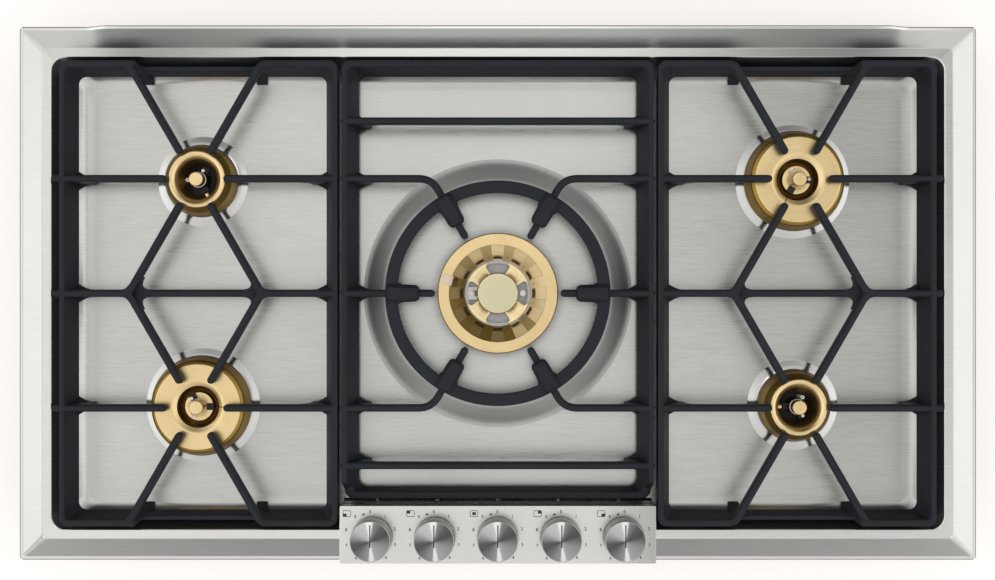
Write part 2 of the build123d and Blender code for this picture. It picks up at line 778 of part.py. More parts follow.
def make_base_pan():
    half = base_width / 2
    top = band_z - band_sheet
    pan = block((-half, half), (base_front_y, base_rear_y), (0, top))
    pan -= block((-half + base_sheet, half - base_sheet), (base_front_y + base_sheet, rear_wall_inside),
                 (base_sheet, top + 1))
    pocket_x_range = (pocket_x - pocket_width / 2, pocket_x + pocket_width / 2)
    pocket_y_range = (pocket_y - pocket_depth / 2, pocket_y + pocket_depth / 2)
    pan += block(pocket_x_range, pocket_y_range, (0, pocket_height + base_sheet))
    pan -= block((pocket_x_range[0] + base_sheet, pocket_x_range[1] - base_sheet),
                 (pocket_y_range[0] + base_sheet, pocket_y_range[1] - base_sheet), (-1, pocket_height))
    pan -= disc(inlet_neck, (0, 2 * pocket_height), (pocket_x, pocket_y))
    pan -= Pos(gland_x, base_rear_y, gland_z) * Rot(90, 0, 0) * Cylinder(8.0, 10)
    panel_half = panel_width / 2 + 1
    pan -= block((-panel_half, panel_half), (base_front_y - 1, base_front_y + 5), (worktop_z - 1, top + 1))
    for side in (-1, 1):
        for number in range(6):
            x = side * (250 + 16 * number)
            pan -= block((x - 2, x + 2), (-15, 15), (-1, base_sheet + 1))
    return pan


def make_seal():
    inner_side = 2 * (lip_width + seal_width)
    seal = plate(rim_width - 2 * lip_width, rim_depth - 2 * lip_width, 2.0, (worktop_z - seal_squeeze, seal_top))
    seal -= plate(rim_width - inner_side, rim_depth - inner_side, 1.0, (worktop_z - 1, seal_top + 1))
    return seal - panel_notch(0.2)


clamp_places = [(side, y) for side in (-1, 1) for y in (-170.0, 150.0)]


def make_clamp(side, y):
    """A bent steel strip on the side wall of the base pan, which grips the worktop from below."""
    wall = base_width / 2
    points = [(0, 8), (1.6, 8), (1.6, 16.4), (13, 16.4), (13, 30), (11.4, 30), (11.4, 18), (1.6, 18), (1.6, 28),
              (0, 28)]
    face = make_face(Polyline(*[(side * (wall + u), y - 10, z) for u, z in points], close=True))
    return extrude(face, amount=20, dir=(0, 1, 0))


def screw_head(place):
    """A hexagonal screw head on a side wall, its axis along X."""
    return Pos(*place) * Rot(0, 90, 0) * extrude(Pos(0, 0, -1.5) * RegularPolygon(3.8, 6), 3.0)


def make_terminal_box():
    box = block((gland_x - 30, gland_x + 30), (rear_wall_inside - 42, rear_wall_inside), (base_sheet, 28))
    return chamfer(box.edges().filter_by(Axis.Z), 2.0)


def make_gland():
    """The cable gland in the rear wall, with its bore open to the rear."""
    along_y = Pos(gland_x, 0, gland_z) * Rot(90, 0, 0)
    body = Pos(0, base_rear_y + 1.5, 0) * along_y * Cylinder(10.5, 3)
    body += Pos(0, base_rear_y + 1, 0) * along_y * Cylinder(8.0, 4.4)
    body += Pos(0, base_rear_y + 7, 0) * along_y * extrude(Pos(0, 0, -4) * RegularPolygon(9.5, 6), 8)
    body -= Pos(0, base_rear_y + 4, 0) * along_y * Cylinder(gland_bore, 20)
    return body - Pos(0, base_rear_y - 3.5, 0) * along_y * Cylinder(gland_bore + 1.5, 10)


write("base_pan", make_base_pan())
write("seal_strip", make_seal())
write("fixing_clamps", Compound([make_clamp(side, y) for side, y in clamp_places]))
screw_places = [(side * (base_width / 2 + 3.1), y, 23) for side, y in clamp_places]
screw_places += [(side * (base_width / 2 + 1.5), y, worktop_z - 5) for side in (-1, 1) for y in (-200, -70, 60, 190)]
write("screws", Compound([screw_head(place) for place in screw_places]))
module = block((80, 170), (150, 195), (base_sheet, 25))
write("ignition_module", chamfer(module.edges().filter_by(Axis.Z), 3.0))
write("terminal_box", make_terminal_box())
write("cable_gland", make_gland())
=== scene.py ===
from math import cos, pi, radians, sin, tan

import bmesh
import bpy
import numpy as np
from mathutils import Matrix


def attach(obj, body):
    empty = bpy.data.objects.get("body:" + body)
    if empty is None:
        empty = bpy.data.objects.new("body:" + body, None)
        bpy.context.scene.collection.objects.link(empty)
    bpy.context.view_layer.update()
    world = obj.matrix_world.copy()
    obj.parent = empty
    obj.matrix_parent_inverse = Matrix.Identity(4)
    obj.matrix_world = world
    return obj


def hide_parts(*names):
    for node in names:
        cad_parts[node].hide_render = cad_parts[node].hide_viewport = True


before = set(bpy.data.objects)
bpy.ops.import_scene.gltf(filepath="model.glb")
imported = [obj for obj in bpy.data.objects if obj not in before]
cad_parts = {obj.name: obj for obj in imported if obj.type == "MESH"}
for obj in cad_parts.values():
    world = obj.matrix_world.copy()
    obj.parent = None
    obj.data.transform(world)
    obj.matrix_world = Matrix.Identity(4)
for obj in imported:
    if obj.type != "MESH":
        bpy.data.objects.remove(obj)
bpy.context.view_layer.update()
print("frame loaded:", len(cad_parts), "nodes")

# A gas cooktop with five burners. Shapes are worked out in millimetres about the middle of the rim,
# X to the right, Y to the rear and Z up from the underside, then moved to the frame's origin in metres.
mm = 0.001
rimShift = np.array([0.0, 1.7, 0.0])
floorZ = 31.0
supportTop = 75.0
panelTop = 73.0
burnerX = 299.0
burnerY = 113.3
smallPlaces = {"left_rear": (-burnerX, burnerY), "right_front": (burnerX, -burnerY)}
largePlaces = {"left_front": (-burnerX, -burnerY), "right_rear": (burnerX, burnerY)}
electrodeAngle = {"left_rear": 180, "right_front": 60, "left_front": 240, "right_rear": 120}


# Camera: straight down from above the middle, with the photograph's perspective

view = {"lens": 50.0, "sensor": 36.0, "place": (-0.0003, 0.00495, 1.4347)}


def makeCamera():
    # looks straight down from a place in metres; the lens and the sensor are in millimetres
    data = bpy.data.cameras.new("camera")
    data.lens = view["lens"]
    data.sensor_width = view["sensor"]
    camera = bpy.data.objects.new("camera", data)
    camera.location = view["place"]
    bpy.context.collection.objects.link(camera)
    bpy.context.scene.camera = camera


makeCamera()


# Mesh helpers

def gridFaces(rows, cols, closeRows=False, closeCols=False):
    # the four corners (i, j), (i, j + 1), (i + 1, j + 1), (i + 1, j) of every cell
    i, j = np.meshgrid(np.arange(rows if closeRows else rows - 1), np.arange(cols if closeCols else cols - 1),
                       indexing="ij")
    nextI, nextJ = (i + 1) % rows, (j + 1) % cols
    cells = [i * cols + j, i * cols + nextJ, nextI * cols + nextJ, nextI * cols + j]
    return np.stack(cells, -1).reshape(-1, 4)


def loft(loops, closed=True, capStart=False, capEnd=False, closeRows=False):
    # a skin through loops[row, point], with single faces over the first and last loop
    loops = np.asarray(loops, float)
    rows, cols = loops.shape[:2]
    faces = gridFaces(rows, cols, closeRows, closed).tolist()
    if capStart:
        faces.append(list(range(cols))[::-1])
    if capEnd:
        faces.append(list(range((rows - 1) * cols, rows * cols)))
    return {"points": loops.reshape(-1, 3), "faces": faces}


def atHeight(flat, z):
    # a flat outline lifted to the height z
    return np.column_stack([flat, np.full(len(flat), z)])


def box(left, low, right, high):
    # the corners of a rectangle, anticlockwise
    return [(left, low), (right, low), (right, high), (left, high)]


def eased(points, reach, steps=5, closed=False):
    # a corner c becomes (1 - s)^2 a + 2 s (1 - s) c + s^2 b, with a and b on its two sides, reach away
    corner = np.asarray(points, float)
    toBefore = np.roll(corner, 1, 0) - corner
    toAfter = np.roll(corner, -1, 0) - corner
    reach = np.broadcast_to(reach, len(corner))
    shareBefore = np.minimum(reach / np.linalg.norm(toBefore, axis=1), 0.5)
    shareAfter = np.minimum(reach / np.linalg.norm(toAfter, axis=1), 0.5)
    a = corner + toBefore * shareBefore[:, None]
    b = corner + toAfter * shareAfter[:, None]
    s = np.linspace(0, 1, steps)[None, :, None]
    curve = (1 - s) ** 2 * a[:, None] + 2 * s * (1 - s) * corner[:, None] + s ** 2 * b[:, None]
    if closed:
        return curve.reshape(-1, corner.shape[1])
    return np.vstack([corner[:1], curve[1:-1].reshape(-1, corner.shape[1]), corner[-1:]])


def turned(profile, centre=(0, 0), segments=96, closed=False, look=0):
    # (r, z) goes round to (cx + r cos a, cy + r sin a, z); u follows the angle, v the length of the profile
    profile = np.asarray(profile, float)
    angle = np.linspace(0, 2 * pi, segments + 1)[None, :]
    r, z = profile[:, :1], profile[:, 1:]
    points = np.stack([centre[0] + r * np.cos(angle), centre[1] + r * np.sin(angle), z + 0 * angle], -1)
    run = np.concatenate([[0], np.cumsum(np.linalg.norm(np.diff(profile, axis=0), axis=1))])[:, None]
    uv = np.stack([angle / (2 * pi) + 0 * r, run / 10 + 0 * angle], -1)
    faces = gridFaces(len(profile), segments + 1, closeRows=closed).tolist()
    return {"points": points.reshape(-1, 3), "faces": faces, "uv": uv.reshape(-1, 2), "look": look}


def insetOutline(outline, distance):
    # each corner moves by distance (n1 + n2) / (1 + n1 . n2), with its two sides' inward normals n1 and n2
    outline = np.asarray(outline, float)
    along = np.roll(outline, -1, 0) - outline
    along /= np.linalg.norm(along, axis=1)[:, None]
    area = np.sum(outline[:, 0] * np.roll(outline[:, 1], -1) - np.roll(outline[:, 0], -1) * outline[:, 1])
    normal = np.stack([-along[:, 1], along[:, 0]], -1) * np.sign(area)
    before = np.roll(normal, 1, 0)
    return outline + distance * (before + normal) / (1 + np.sum(before * normal, axis=1))[:, None]


def prism(outline, low, high, bevel=0.6, axes="xyz", look=0):
    # an outline carried from low to high along the last of the axes, its rims bevelled
    rows = [(bevel, low), (bevel * 0.3, low + bevel * 0.3), (0, low + bevel),
            (0, high - bevel), (bevel * 0.3, high - bevel * 0.3), (bevel, high)]
    if bevel == 0:
        rows = [(0, low), (0, high)]
    loops = [atHeight(insetOutline(outline, inset), height) for inset, height in rows]
    order = [axes.index(name) for name in "xyz"]
    part = loft(np.array(loops)[:, :, order], capStart=True, capEnd=True)
    part["look"] = look
    return part


def roundedLoop(halfX, halfY, corner, xs, ys, arc=8, centre=(0, 0)):
    # a rounded rectangle with points at the given x on its long sides and the given y on its short sides
    xs, ys = np.asarray(xs, float), np.asarray(ys, float)
    turn = np.linspace(0, pi / 2, arc)
    quarter = np.stack([np.cos(turn), np.sin(turn)], -1) * corner
    inX, inY = halfX - corner, halfY - corner
    quarters = []
    for k, (signX, signY) in enumerate([(1, 1), (-1, 1), (-1, -1), (1, -1)]):
        c, s = cos(k * pi / 2), sin(k * pi / 2)
        turnedQuarter = quarter @ np.array([[c, s], [-s, c]])
        quarters.append(turnedQuarter + [signX * inX, signY * inY])
    right = np.column_stack([np.full(len(ys), halfX), ys])
    rear = np.column_stack([xs[::-1], np.full(len(xs), halfY)])
    left = np.column_stack([np.full(len(ys), -halfX), ys[::-1]])
    front = np.column_stack([xs, np.full(len(xs), -halfY)])
    loop = np.vstack([right, quarters[0], rear, quarters[1], left, quarters[2], front, quarters[3]])
    return loop + np.asarray(centre, float)


def outlineAlong(path, radius, capPoints=7):
    # path + radius n on one side, path - radius n on the other, and half circles round both ends
    path = np.asarray(path, float)
    along = np.gradient(path, axis=0)
    along /= np.linalg.norm(along, axis=1)[:, None]
    normal = np.stack([-along[:, 1], along[:, 0]], -1)
    turn = np.linspace(pi / 2, -pi / 2, capPoints)[1:-1, None]
    endCap = path[-1] + radius * (np.sin(turn) * normal[-1] + np.cos(turn) * along[-1])
    startCap = path[0] - radius * (np.sin(turn) * normal[0] + np.cos(turn) * along[0])
    return np.vstack([path + radius * normal, endCap, (path - radius * normal)[::-1], startCap])


barStyle = {"halfWidth": 3.7, "rounding": 2.6, "depth": 10.0, "footRounding": 0.8, "draft": 0.25}


def roundBar(path, top=supportTop):
    # the outline of a path at insets d and heights z; both the lowest and the highest loop close on the path
    half, foot, draft = barStyle["halfWidth"], barStyle["footRounding"], barStyle["draft"]
    r, low = barStyle["rounding"], top - barStyle["depth"]
    turn = np.linspace(0, pi / 2, 6)
    insets = np.concatenate([[half, foot, 0.25 * foot, 0], draft + r * (1 - np.cos(turn)), [half]])
    heights = np.concatenate([[low, low, low + 0.3 * foot, low + foot], top - r + r * np.sin(turn) * 0.94,
                              [top]])
    return loft([atHeight(outlineAlong(path, half - inset), z) for inset, z in zip(insets, heights)])


def polar(centre, radius, angle):
    # (cx + r cos a, cy + r sin a), with the angle in degrees
    return (centre[0] + radius * cos(radians(angle)), centre[1] + radius * sin(radians(angle)))


def mirrored(part, side, centreX):
    # x becomes centreX + side x
    return {**part, "points": part["points"] * [side, 1, 1] + [centreX, 0, 0]}


def rotated(part, angle, centre=(0, 0)):
    # turned about the vertical through the origin, then moved to centre
    c, s = cos(radians(angle)), sin(radians(angle))
    points = part["points"] @ np.array([[c, s, 0], [-s, c, 0], [0, 0, 1]]) + [centre[0], centre[1], 0]
    return {**part, "points": points}


def makePiece(name, parts, materials, body, nodes=(), sharp=35):
    # joins the parts, merges doubles, turns faces outwards and keeps edges over the angle sharp
    points, faces, uvs, looks = [], [], [], []
    offset = 0
    for part in parts:
        points.append(part["points"])
        faces += [[k + offset for k in face] for face in part["faces"]]
        uvs.append(part.get("uv", part["points"][:, :2] / 100))
        looks.append(np.full(len(part["faces"]), part.get("look", 0)))
        offset += len(part["points"])
    points = (np.vstack(points) + rimShift) * mm
    mesh = bpy.data.meshes.new(name)
    mesh.from_pydata(points.tolist(), [], faces)
    for material in materials:
        mesh.materials.append(material)
    mesh.polygons.foreach_set("material_index", np.concatenate(looks).astype(np.int32))
    layer = mesh.uv_layers.new(name="spun")
    corners = np.zeros(len(mesh.loops), np.int32)
    mesh.loops.foreach_get("vertex_index", corners)
    layer.data.foreach_set("uv", np.vstack(uvs)[corners].astype(np.float32).ravel())
    shape = bmesh.new()
    shape.from_mesh(mesh)
    bmesh.ops.remove_doubles(shape, verts=shape.verts, dist=2e-6)
    bmesh.ops.dissolve_degenerate(shape, dist=1e-7, edges=shape.edges)
    bmesh.ops.recalc_face_normals(shape, faces=shape.faces)
    shape.to_mesh(mesh)
    shape.free()
    mesh.shade_smooth()
    mesh.set_sharp_from_angle(angle=radians(sharp))
    piece = bpy.data.objects.new(name, mesh)
    bpy.context.collection.objects.link(piece)
    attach(piece, body)
    if nodes:
        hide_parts(*nodes)
    return piece


# Material helpers

def feed(tree, socket, value):
    # another node's socket is linked; a number or a colour is set
    if isinstance(value, bpy.types.NodeSocket):
        tree.links.new(value, socket)
    else:
        socket.default_value = value


def addNode(tree, kind, **values):
    # sets the node's own settings, and feeds each socket named with _ for a space
    node = tree.nodes.new("ShaderNode" + kind)
    for key, value in values.items():
        if hasattr(node, key):
            setattr(node, key, value)
        else:
            feed(tree, node.inputs[key.replace("_", " ")], value)
    return node


def mathNode(tree, operation, *values):
    # one sum, whose sockets are fed in their order
    node = addNode(tree, "Math", operation=operation)
    for socket, value in zip(node.inputs, values):
        feed(tree, socket, value)
    return node.outputs[0]


def vectorNode(tree, operation, *values):
    # one sum with vectors, whose sockets are fed in their order
    node = addNode(tree, "VectorMath", operation=operation)
    for socket, value in zip(node.inputs, values):
        feed(tree, socket, value)
    return node.outputs["Value" if operation in ("LENGTH", "DOT_PRODUCT") else "Vector"]


def dress(material, **values):
    # feeds the sockets of the material's own shader
    tree = material.node_tree
    for key, value in values.items():
        feed(tree, tree.nodes["Principled BSDF"].inputs[key.replace("_", " ")], value)


def newMaterial(name, **values):
    # a material with its shader's sockets fed, and its node tree
    material = bpy.data.materials.new(name)
    material.use_nodes = True
    dress(material, **values)
    return material, material.node_tree


def newGroup(name, inputs, outputs):
    # a group with its named sockets, and the sockets of its two inner ends
    group = bpy.data.node_groups.new(name, "ShaderNodeTree")
    for label, start in inputs.items():
        socket = group.interface.new_socket(name=label, in_out="INPUT", socket_type="NodeSocketFloat")
        socket.default_value = start
    for label in outputs:
        group.interface.new_socket(name=label, in_out="OUTPUT", socket_type="NodeSocketFloat")
    return group, group.nodes.new("NodeGroupInput").outputs, group.nodes.new("NodeGroupOutput").inputs


def useGroup(tree, group, **values):
    # places the group with its own values and gives its outputs
    node = tree.nodes.new("ShaderNodeGroup")
    node.node_tree = group
    for key, value in values.items():
        node.inputs[key].default_value = value
    return node.outputs


def makeBrushGroup():
    # fine streaks along X, and slow clouds in the sheet, from the piece's own coordinates in metres
    group, given, result = newGroup("brushStreaks", {"along": 60.0, "across": 1500.0, "cloud": 5.0},
                                    ["streak", "clouds"])
    place = addNode(group, "TexCoord").outputs["Object"]
    scale = addNode(group, "CombineXYZ", X=given["along"], Y=given["across"], Z=given["along"]).outputs[0]
    fine = addNode(group, "TexNoise", Vector=vectorNode(group, "MULTIPLY", place, scale), Scale=1.0,
                   Detail=4.0, Roughness=0.65)
    slow = addNode(group, "TexNoise", Vector=place, Scale=given["cloud"], Detail=3.0, Roughness=0.5)
    feed(group, result["streak"], fine.outputs["Fac"])
    feed(group, result["clouds"], slow.outputs["Fac"])
    return group


def makeSpunGroup():
    # rings of a turned face: noise that is long round the axis (u) and fine along the profile (v)
    group, given, result = newGroup("spunRings", {"round": 6.0, "fine": 60.0}, ["rings"])
    place = addNode(group, "UVMap", uv_map="spun").outputs["UV"]
    scale = addNode(group, "CombineXYZ", X=given["round"], Y=given["fine"]).outputs[0]
    noise = addNode(group, "TexNoise", Vector=vectorNode(group, "MULTIPLY", place, scale), Scale=1.0,
                    Detail=3.0, Roughness=0.7)
    feed(group, result["rings"], noise.outputs["Fac"])
    return group


def makeGrainGroup():
    # the pebbled skin of a casting or a moulding, and slow patches of wear
    group, given, result = newGroup("castGrain", {"pebble": 900.0, "patch": 18.0}, ["grain", "patches"])
    place = addNode(group, "TexCoord").outputs["Object"]
    pebbles = addNode(group, "TexNoise", Vector=place, Scale=given["pebble"], Detail=5.0, Roughness=0.62)
    patches = addNode(group, "TexNoise", Vector=place, Scale=given["patch"], Detail=4.0, Roughness=0.6)
    feed(group, result["grain"], pebbles.outputs["Fac"])
    feed(group, result["patches"], patches.outputs["Fac"])
    return group


brushStreaks = makeBrushGroup()
spunRings = makeSpunGroup()
castGrain = makeGrainGroup()
bumpDepth = 0.0002


def spread(tree, source, low, high):
    # the middle half of a noise stretched to low ... high
    return addNode(tree, "MapRange", Value=source, From_Min=0.3, From_Max=0.7, To_Min=low,
                   To_Max=high).outputs["Result"]


def fading(tree, source, start, end, first, last):
    # a soft step from first, where the source is start, to last, where it is end
    return addNode(tree, "MapRange", interpolation_type="SMOOTHSTEP", Value=source, From_Min=start,
                   From_Max=end, To_Min=first, To_Max=last).outputs["Result"]


def mixed(tree, factor, first, second, blend="MIX"):
    # the first colour where the factor is 0, the second (or both multiplied) where it is 1
    node = tree.nodes.new("ShaderNodeMix")
    node.data_type, node.blend_type = "RGBA", blend
    colours = [socket for socket in node.inputs if socket.type == "RGBA"]
    for socket, value in zip([node.inputs["Factor"], *colours], (factor, first, second)):
        feed(tree, socket, (*value, 1) if isinstance(value, tuple) else value)
    return next(socket for socket in node.outputs if socket.type == "RGBA")


def bumped(tree, height, strength):
    # the normal of a surface that rises by the height times bumpDepth
    return addNode(tree, "Bump", Height=height, Strength=strength, Distance=bumpDepth).outputs["Normal"]


def brushedMetal(name, dark, light, rough, streak=0.02, along=60.0):
    # the tone takes 0.6 of the streaks and 0.4 of the clouds
    material, tree = newMaterial(name, Metallic=1.0)
    brush = useGroup(tree, brushStreaks, along=along)
    tone = mathNode(tree, "ADD", spread(tree, brush["streak"], 0.0, 0.6),
                    spread(tree, brush["clouds"], 0.0, 0.4))
    dress(material, Base_Color=mixed(tree, tone, dark, light),
          Roughness=spread(tree, brush["streak"], *rough), Normal=bumped(tree, brush["streak"], streak))
    return material


def spunMetal(name, dark, light, rough, ring=0.05):
    # the tone takes 0.6 of the rings and 0.4 of the patches
    material, tree = newMaterial(name, Metallic=1.0)
    rings = useGroup(tree, spunRings)["rings"]
    patches = useGroup(tree, castGrain, pebble=300.0, patch=25.0)["patches"]
    tone = mathNode(tree, "ADD", spread(tree, rings, 0.0, 0.6), spread(tree, patches, 0.0, 0.4))
    dress(material, Base_Color=mixed(tree, tone, dark, light), Roughness=spread(tree, rings, *rough),
          Normal=bumped(tree, rings, ring))
    return material


def grainyCoat(name, dark, light, rough, pebble=900.0, patch=18.0, bump=0.3, **values):
    # the tone and the gloss follow the patches, the height follows the pebbles
    material, tree = newMaterial(name, **values)
    grain = useGroup(tree, castGrain, pebble=pebble, patch=patch)
    dress(material, Base_Color=mixed(tree, spread(tree, grain["patches"], 0.0, 1.0), dark, light),
          Roughness=spread(tree, grain["patches"], *rough), Normal=bumped(tree, grain["grain"], bump))
    return material


def rampOver(tree, source, stops):
    # a tone between the given (position, tone) stops
    node = addNode(tree, "ValToRGB", Fac=source)
    ramp = node.color_ramp
    while len(ramp.elements) < len(stops):
        ramp.elements.new(0.5)
    for element, (position, tone) in zip(ramp.elements, stops):
        element.position = position
        element.color = (tone, tone, tone * 0.99, 1)
    return node.outputs["Color"]


def mapParts(tree):
    # u and v of the piece's own map: u runs 0 ... 1 once round a turned face
    place = addNode(tree, "UVMap", uv_map="spun").outputs["UV"]
    return addNode(tree, "SeparateXYZ", Vector=place).outputs[:2]


def knobTop():
    # a spun face with painted reflections: bright rays at the front and rear, dark wedges to both sides, fine
    # rings over them
    material, tree = newMaterial("knobMetal", Metallic=1.0)
    stops = [(0.0, 0.20), (0.06, 0.095), (0.14, 0.13), (0.215, 0.27), (0.235, 0.92), (0.275, 0.95),
             (0.30, 0.60), (0.40, 0.52), (0.47, 0.30), (0.515, 0.13), (0.565, 0.10), (0.63, 0.18),
             (0.70, 0.29), (0.735, 0.32), (0.75, 0.85), (0.775, 0.88), (0.80, 0.42), (0.88, 0.36),
             (0.95, 0.30), (1.0, 0.20)]
    rings = useGroup(tree, spunRings, fine=45.0)["rings"]
    ringTone = mixed(tree, spread(tree, rings, 0.0, 1.0), (0.80, 0.80, 0.80), (0.97, 0.97, 0.97))
    face = rampOver(tree, mapParts(tree)[0], stops)
    dress(material, Base_Color=mixed(tree, 1.0, face, ringTone, "MULTIPLY"),
          Roughness=spread(tree, rings, 0.26, 0.36), Normal=bumped(tree, rings, 0.03))
    return material


def coneMetal():
    # brass facets, pale to the right and brown at the lower left in painted light and shade: one ramp for the
    # ribs, one for the recesses
    material, tree = newMaterial("coneMetal", Metallic=0.3)
    turn, rib = mapParts(tree)
    recessStops = [(0.0, 1.0), (0.16, 0.84), (0.25, 0.98), (0.33, 0.74), (0.42, 0.35), (0.5, 0.18),
                   (0.67, 0.08), (0.75, 0.19), (0.83, 0.77), (0.92, 0.96)]
    ribStops = [(0.04, 0.93), (0.13, 0.60), (0.25, 0.42), (0.38, 0.20), (0.46, 0.05), (0.71, 0.01),
                (0.80, 0.05), (0.88, 0.29), (0.96, 0.79)]
    facets = [mixed(tree, rampOver(tree, turn, stops), (0.18, 0.108, 0.016), (1.0, 0.80, 0.46))
              for stops in (recessStops, ribStops)]
    patches = useGroup(tree, castGrain, pebble=300.0, patch=25.0)["patches"]
    tone = mixed(tree, spread(tree, patches, 0.0, 1.0), (0.96, 0.96, 0.96), (1.0, 1.0, 1.0))
    dress(material, Base_Color=mixed(tree, 1.0, mixed(tree, rib, *facets), tone, "MULTIPLY"),
          Roughness=spread(tree, patches, 0.36, 0.46))
    return material


def dimmed(material, factor):
    # the sheet's own tone times the factor, which paints shade into it
    tree = material.node_tree
    colour = tree.nodes["Principled BSDF"].inputs["Base Color"].links[0].from_socket
    dress(material, Base_Color=mixed(tree, 1.0, colour, factor, "MULTIPLY"))


def ownPlace(tree):
    # the piece's own coordinates in metres, and their x
    place = addNode(tree, "TexCoord").outputs["Object"]
    return place, addNode(tree, "SeparateXYZ", Vector=place).outputs["X"]


def shadeTowards(material, start, end, least):
    # painted shade: the tone falls softly from 1 at x = start to least at x = end
    tree = material.node_tree
    dimmed(material, fading(tree, ownPlace(tree)[1], start, end, 1.0, least))


def shadeEnds(material, start, end, back, least):
    # painted shade: the tone falls softly from 1 at |x| = start to least at |x| = end, and regains 0.75 of it
    # at |x| = back
    tree = material.node_tree
    side = mathNode(tree, "ABSOLUTE", ownPlace(tree)[1])
    fall = fading(tree, side, start, end, 1.0, least)
    rise = fading(tree, side, end, back, 0.0, 0.75 * (1 - least))
    dimmed(material, mathNode(tree, "ADD", fall, rise))


def shadeRound(material, inner, outer, least):
    # painted shadow round the middle burner: the tone rises softly from least at the inner radius to 1 at the
    # outer one
    tree = material.node_tree
    flat = vectorNode(tree, "MULTIPLY_ADD", ownPlace(tree)[0], (1, 1, 0), tuple(-rimShift * mm * [1, 1, 0]))
    dimmed(material, fading(tree, vectorNode(tree, "LENGTH", flat), inner, outer, least, 1.0))


print("materials")
rimSteel, bandSteel = [brushedMetal(name, (0.62, 0.62, 0.605), (0.72, 0.72, 0.70), (0.13, 0.20))
                       for name in ("rimSteel", "bandSteel")]
# painted reflection: the rear band's steel darker towards both ends
shadeEnds(bandSteel, 0.12, 0.36, 0.425, 0.50)
troughSteel = brushedMetal("troughSteel", (0.425, 0.425, 0.41), (0.63, 0.63, 0.61), (0.26, 0.36), along=45.0)
# painted shadow: the trough darker in a ring at the wok burner's foot
shadeRound(troughSteel, 0.059, 0.070, 0.66)
# painted shade: the trough darker towards its right side
shadeTowards(troughSteel, 0.17, 0.30, 0.84)
slopeSteel = brushedMetal("slopeSteel", (0.60, 0.60, 0.585), (0.69, 0.69, 0.675), (0.34, 0.42), along=45.0)
# painted reflection: the rear slope's steel darker towards both ends
shadeEnds(slopeSteel, 0.08, 0.34, 0.44, 0.60)
# painted shade: near-black steel for the rim's rounded outer edge, a dark line round the sheet
edgeShadeSteel = brushedMetal("edgeShadeSteel", (0.060, 0.060, 0.060), (0.095, 0.095, 0.094), (0.30, 0.40))
domeSteel = brushedMetal("domeSteel", (0.445, 0.445, 0.43), (0.505, 0.505, 0.49), (0.50, 0.58), streak=0.008)
panelSteel = brushedMetal("panelSteel", (0.60, 0.60, 0.585), (0.71, 0.71, 0.69), (0.20, 0.30), streak=0.012)
# painted shade: the panel darker towards its right end
shadeTowards(panelSteel, 0.095, 0.165, 0.66)
collarSteel = spunMetal("collarSteel", (0.52, 0.52, 0.505), (0.59, 0.59, 0.575), (0.10, 0.15), ring=0.0)
knobMetal = knobTop()
knobSide = spunMetal("knobSide", (0.40, 0.40, 0.39), (0.48, 0.48, 0.47), (0.42, 0.50), ring=0.03)
castIron = grainyCoat("castIron", (0.0098, 0.0120, 0.0156), (0.0160, 0.0192, 0.0246), (0.56, 0.68),
                      Specular_IOR_Level=0.24)
blackEnamel = grainyCoat("blackEnamel", (0.004, 0.004, 0.004), (0.009, 0.009, 0.009), (0.30, 0.45), bump=0.15,
                         Specular_IOR_Level=0.35)
brass = spunMetal("brass", (0.66, 0.49, 0.24), (0.84, 0.66, 0.37), (0.22, 0.36), ring=0.08)
brassPale = spunMetal("brassPale", (0.84, 0.66, 0.35), (0.95, 0.78, 0.46), (0.25, 0.38), ring=0.06)
brassDark = spunMetal("brassDark", (0.34, 0.22, 0.08), (0.50, 0.35, 0.15), (0.25, 0.40), ring=0.10)
# painted shade: a darker brass for the burners' outer sides, the wok burner's inner wall and the stem under
# the wok cap
skirtShadeBrass = spunMetal("skirtShadeBrass", (0.24, 0.145, 0.028), (0.36, 0.23, 0.06), (0.30, 0.42), ring=0.05)
# painted shade: a darker brass for the burners' bowls and bores and the stems under the caps
wellShadeBrass = spunMetal("wellShadeBrass", (0.40, 0.28, 0.10), (0.52, 0.38, 0.16), (0.34, 0.44), ring=0.04)
brassCap = spunMetal("brassCap", (0.60, 0.555, 0.36), (0.68, 0.63, 0.42), (0.28, 0.40), ring=0.04)
coneBrass = coneMetal()
insertMetal = spunMetal("insertMetal", (0.62, 0.50, 0.40), (0.72, 0.59, 0.47), (0.25, 0.38), ring=0.03)
# painted shade: near-black cups under the side burners, for the dark hollow seen through each bowl
cupShadeAluminium = grainyCoat("cupShadeAluminium", (0.016, 0.015, 0.014), (0.030, 0.028, 0.026), (0.5, 0.65),
                            bump=0.2)
slotShade = grainyCoat("slotShade", (0.030, 0.020, 0.006), (0.050, 0.034, 0.012), (0.5, 0.7), bump=0.05)
ceramic = grainyCoat("ceramic", (0.74, 0.72, 0.68), (0.84, 0.82, 0.79), (0.18, 0.28), pebble=500.0, bump=0.05)
pinSteel = spunMetal("pinSteel", (0.50, 0.49, 0.47), (0.64, 0.63, 0.61), (0.14, 0.26), ring=0.04)
screwSteel = grainyCoat("screwSteel", (0.40, 0.40, 0.38), (0.56, 0.55, 0.50), (0.25, 0.40), pebble=700.0,
                        bump=0.1, Metallic=1.0)
galvanised = grainyCoat("galvanised", (0.36, 0.37, 0.38), (0.50, 0.51, 0.52), (0.34, 0.52), pebble=160.0,
                        patch=60.0, bump=0.08, Metallic=1.0)
castAluminium = grainyCoat("castAluminium", (0.38, 0.38, 0.38), (0.52, 0.52, 0.52), (0.40, 0.58),
                           pebble=600.0, bump=0.25, Metallic=1.0)
pipeAluminium = grainyCoat("pipeAluminium", (0.52, 0.52, 0.53), (0.66, 0.66, 0.67), (0.25, 0.42),
                           pebble=300.0, bump=0.06, Metallic=1.0)
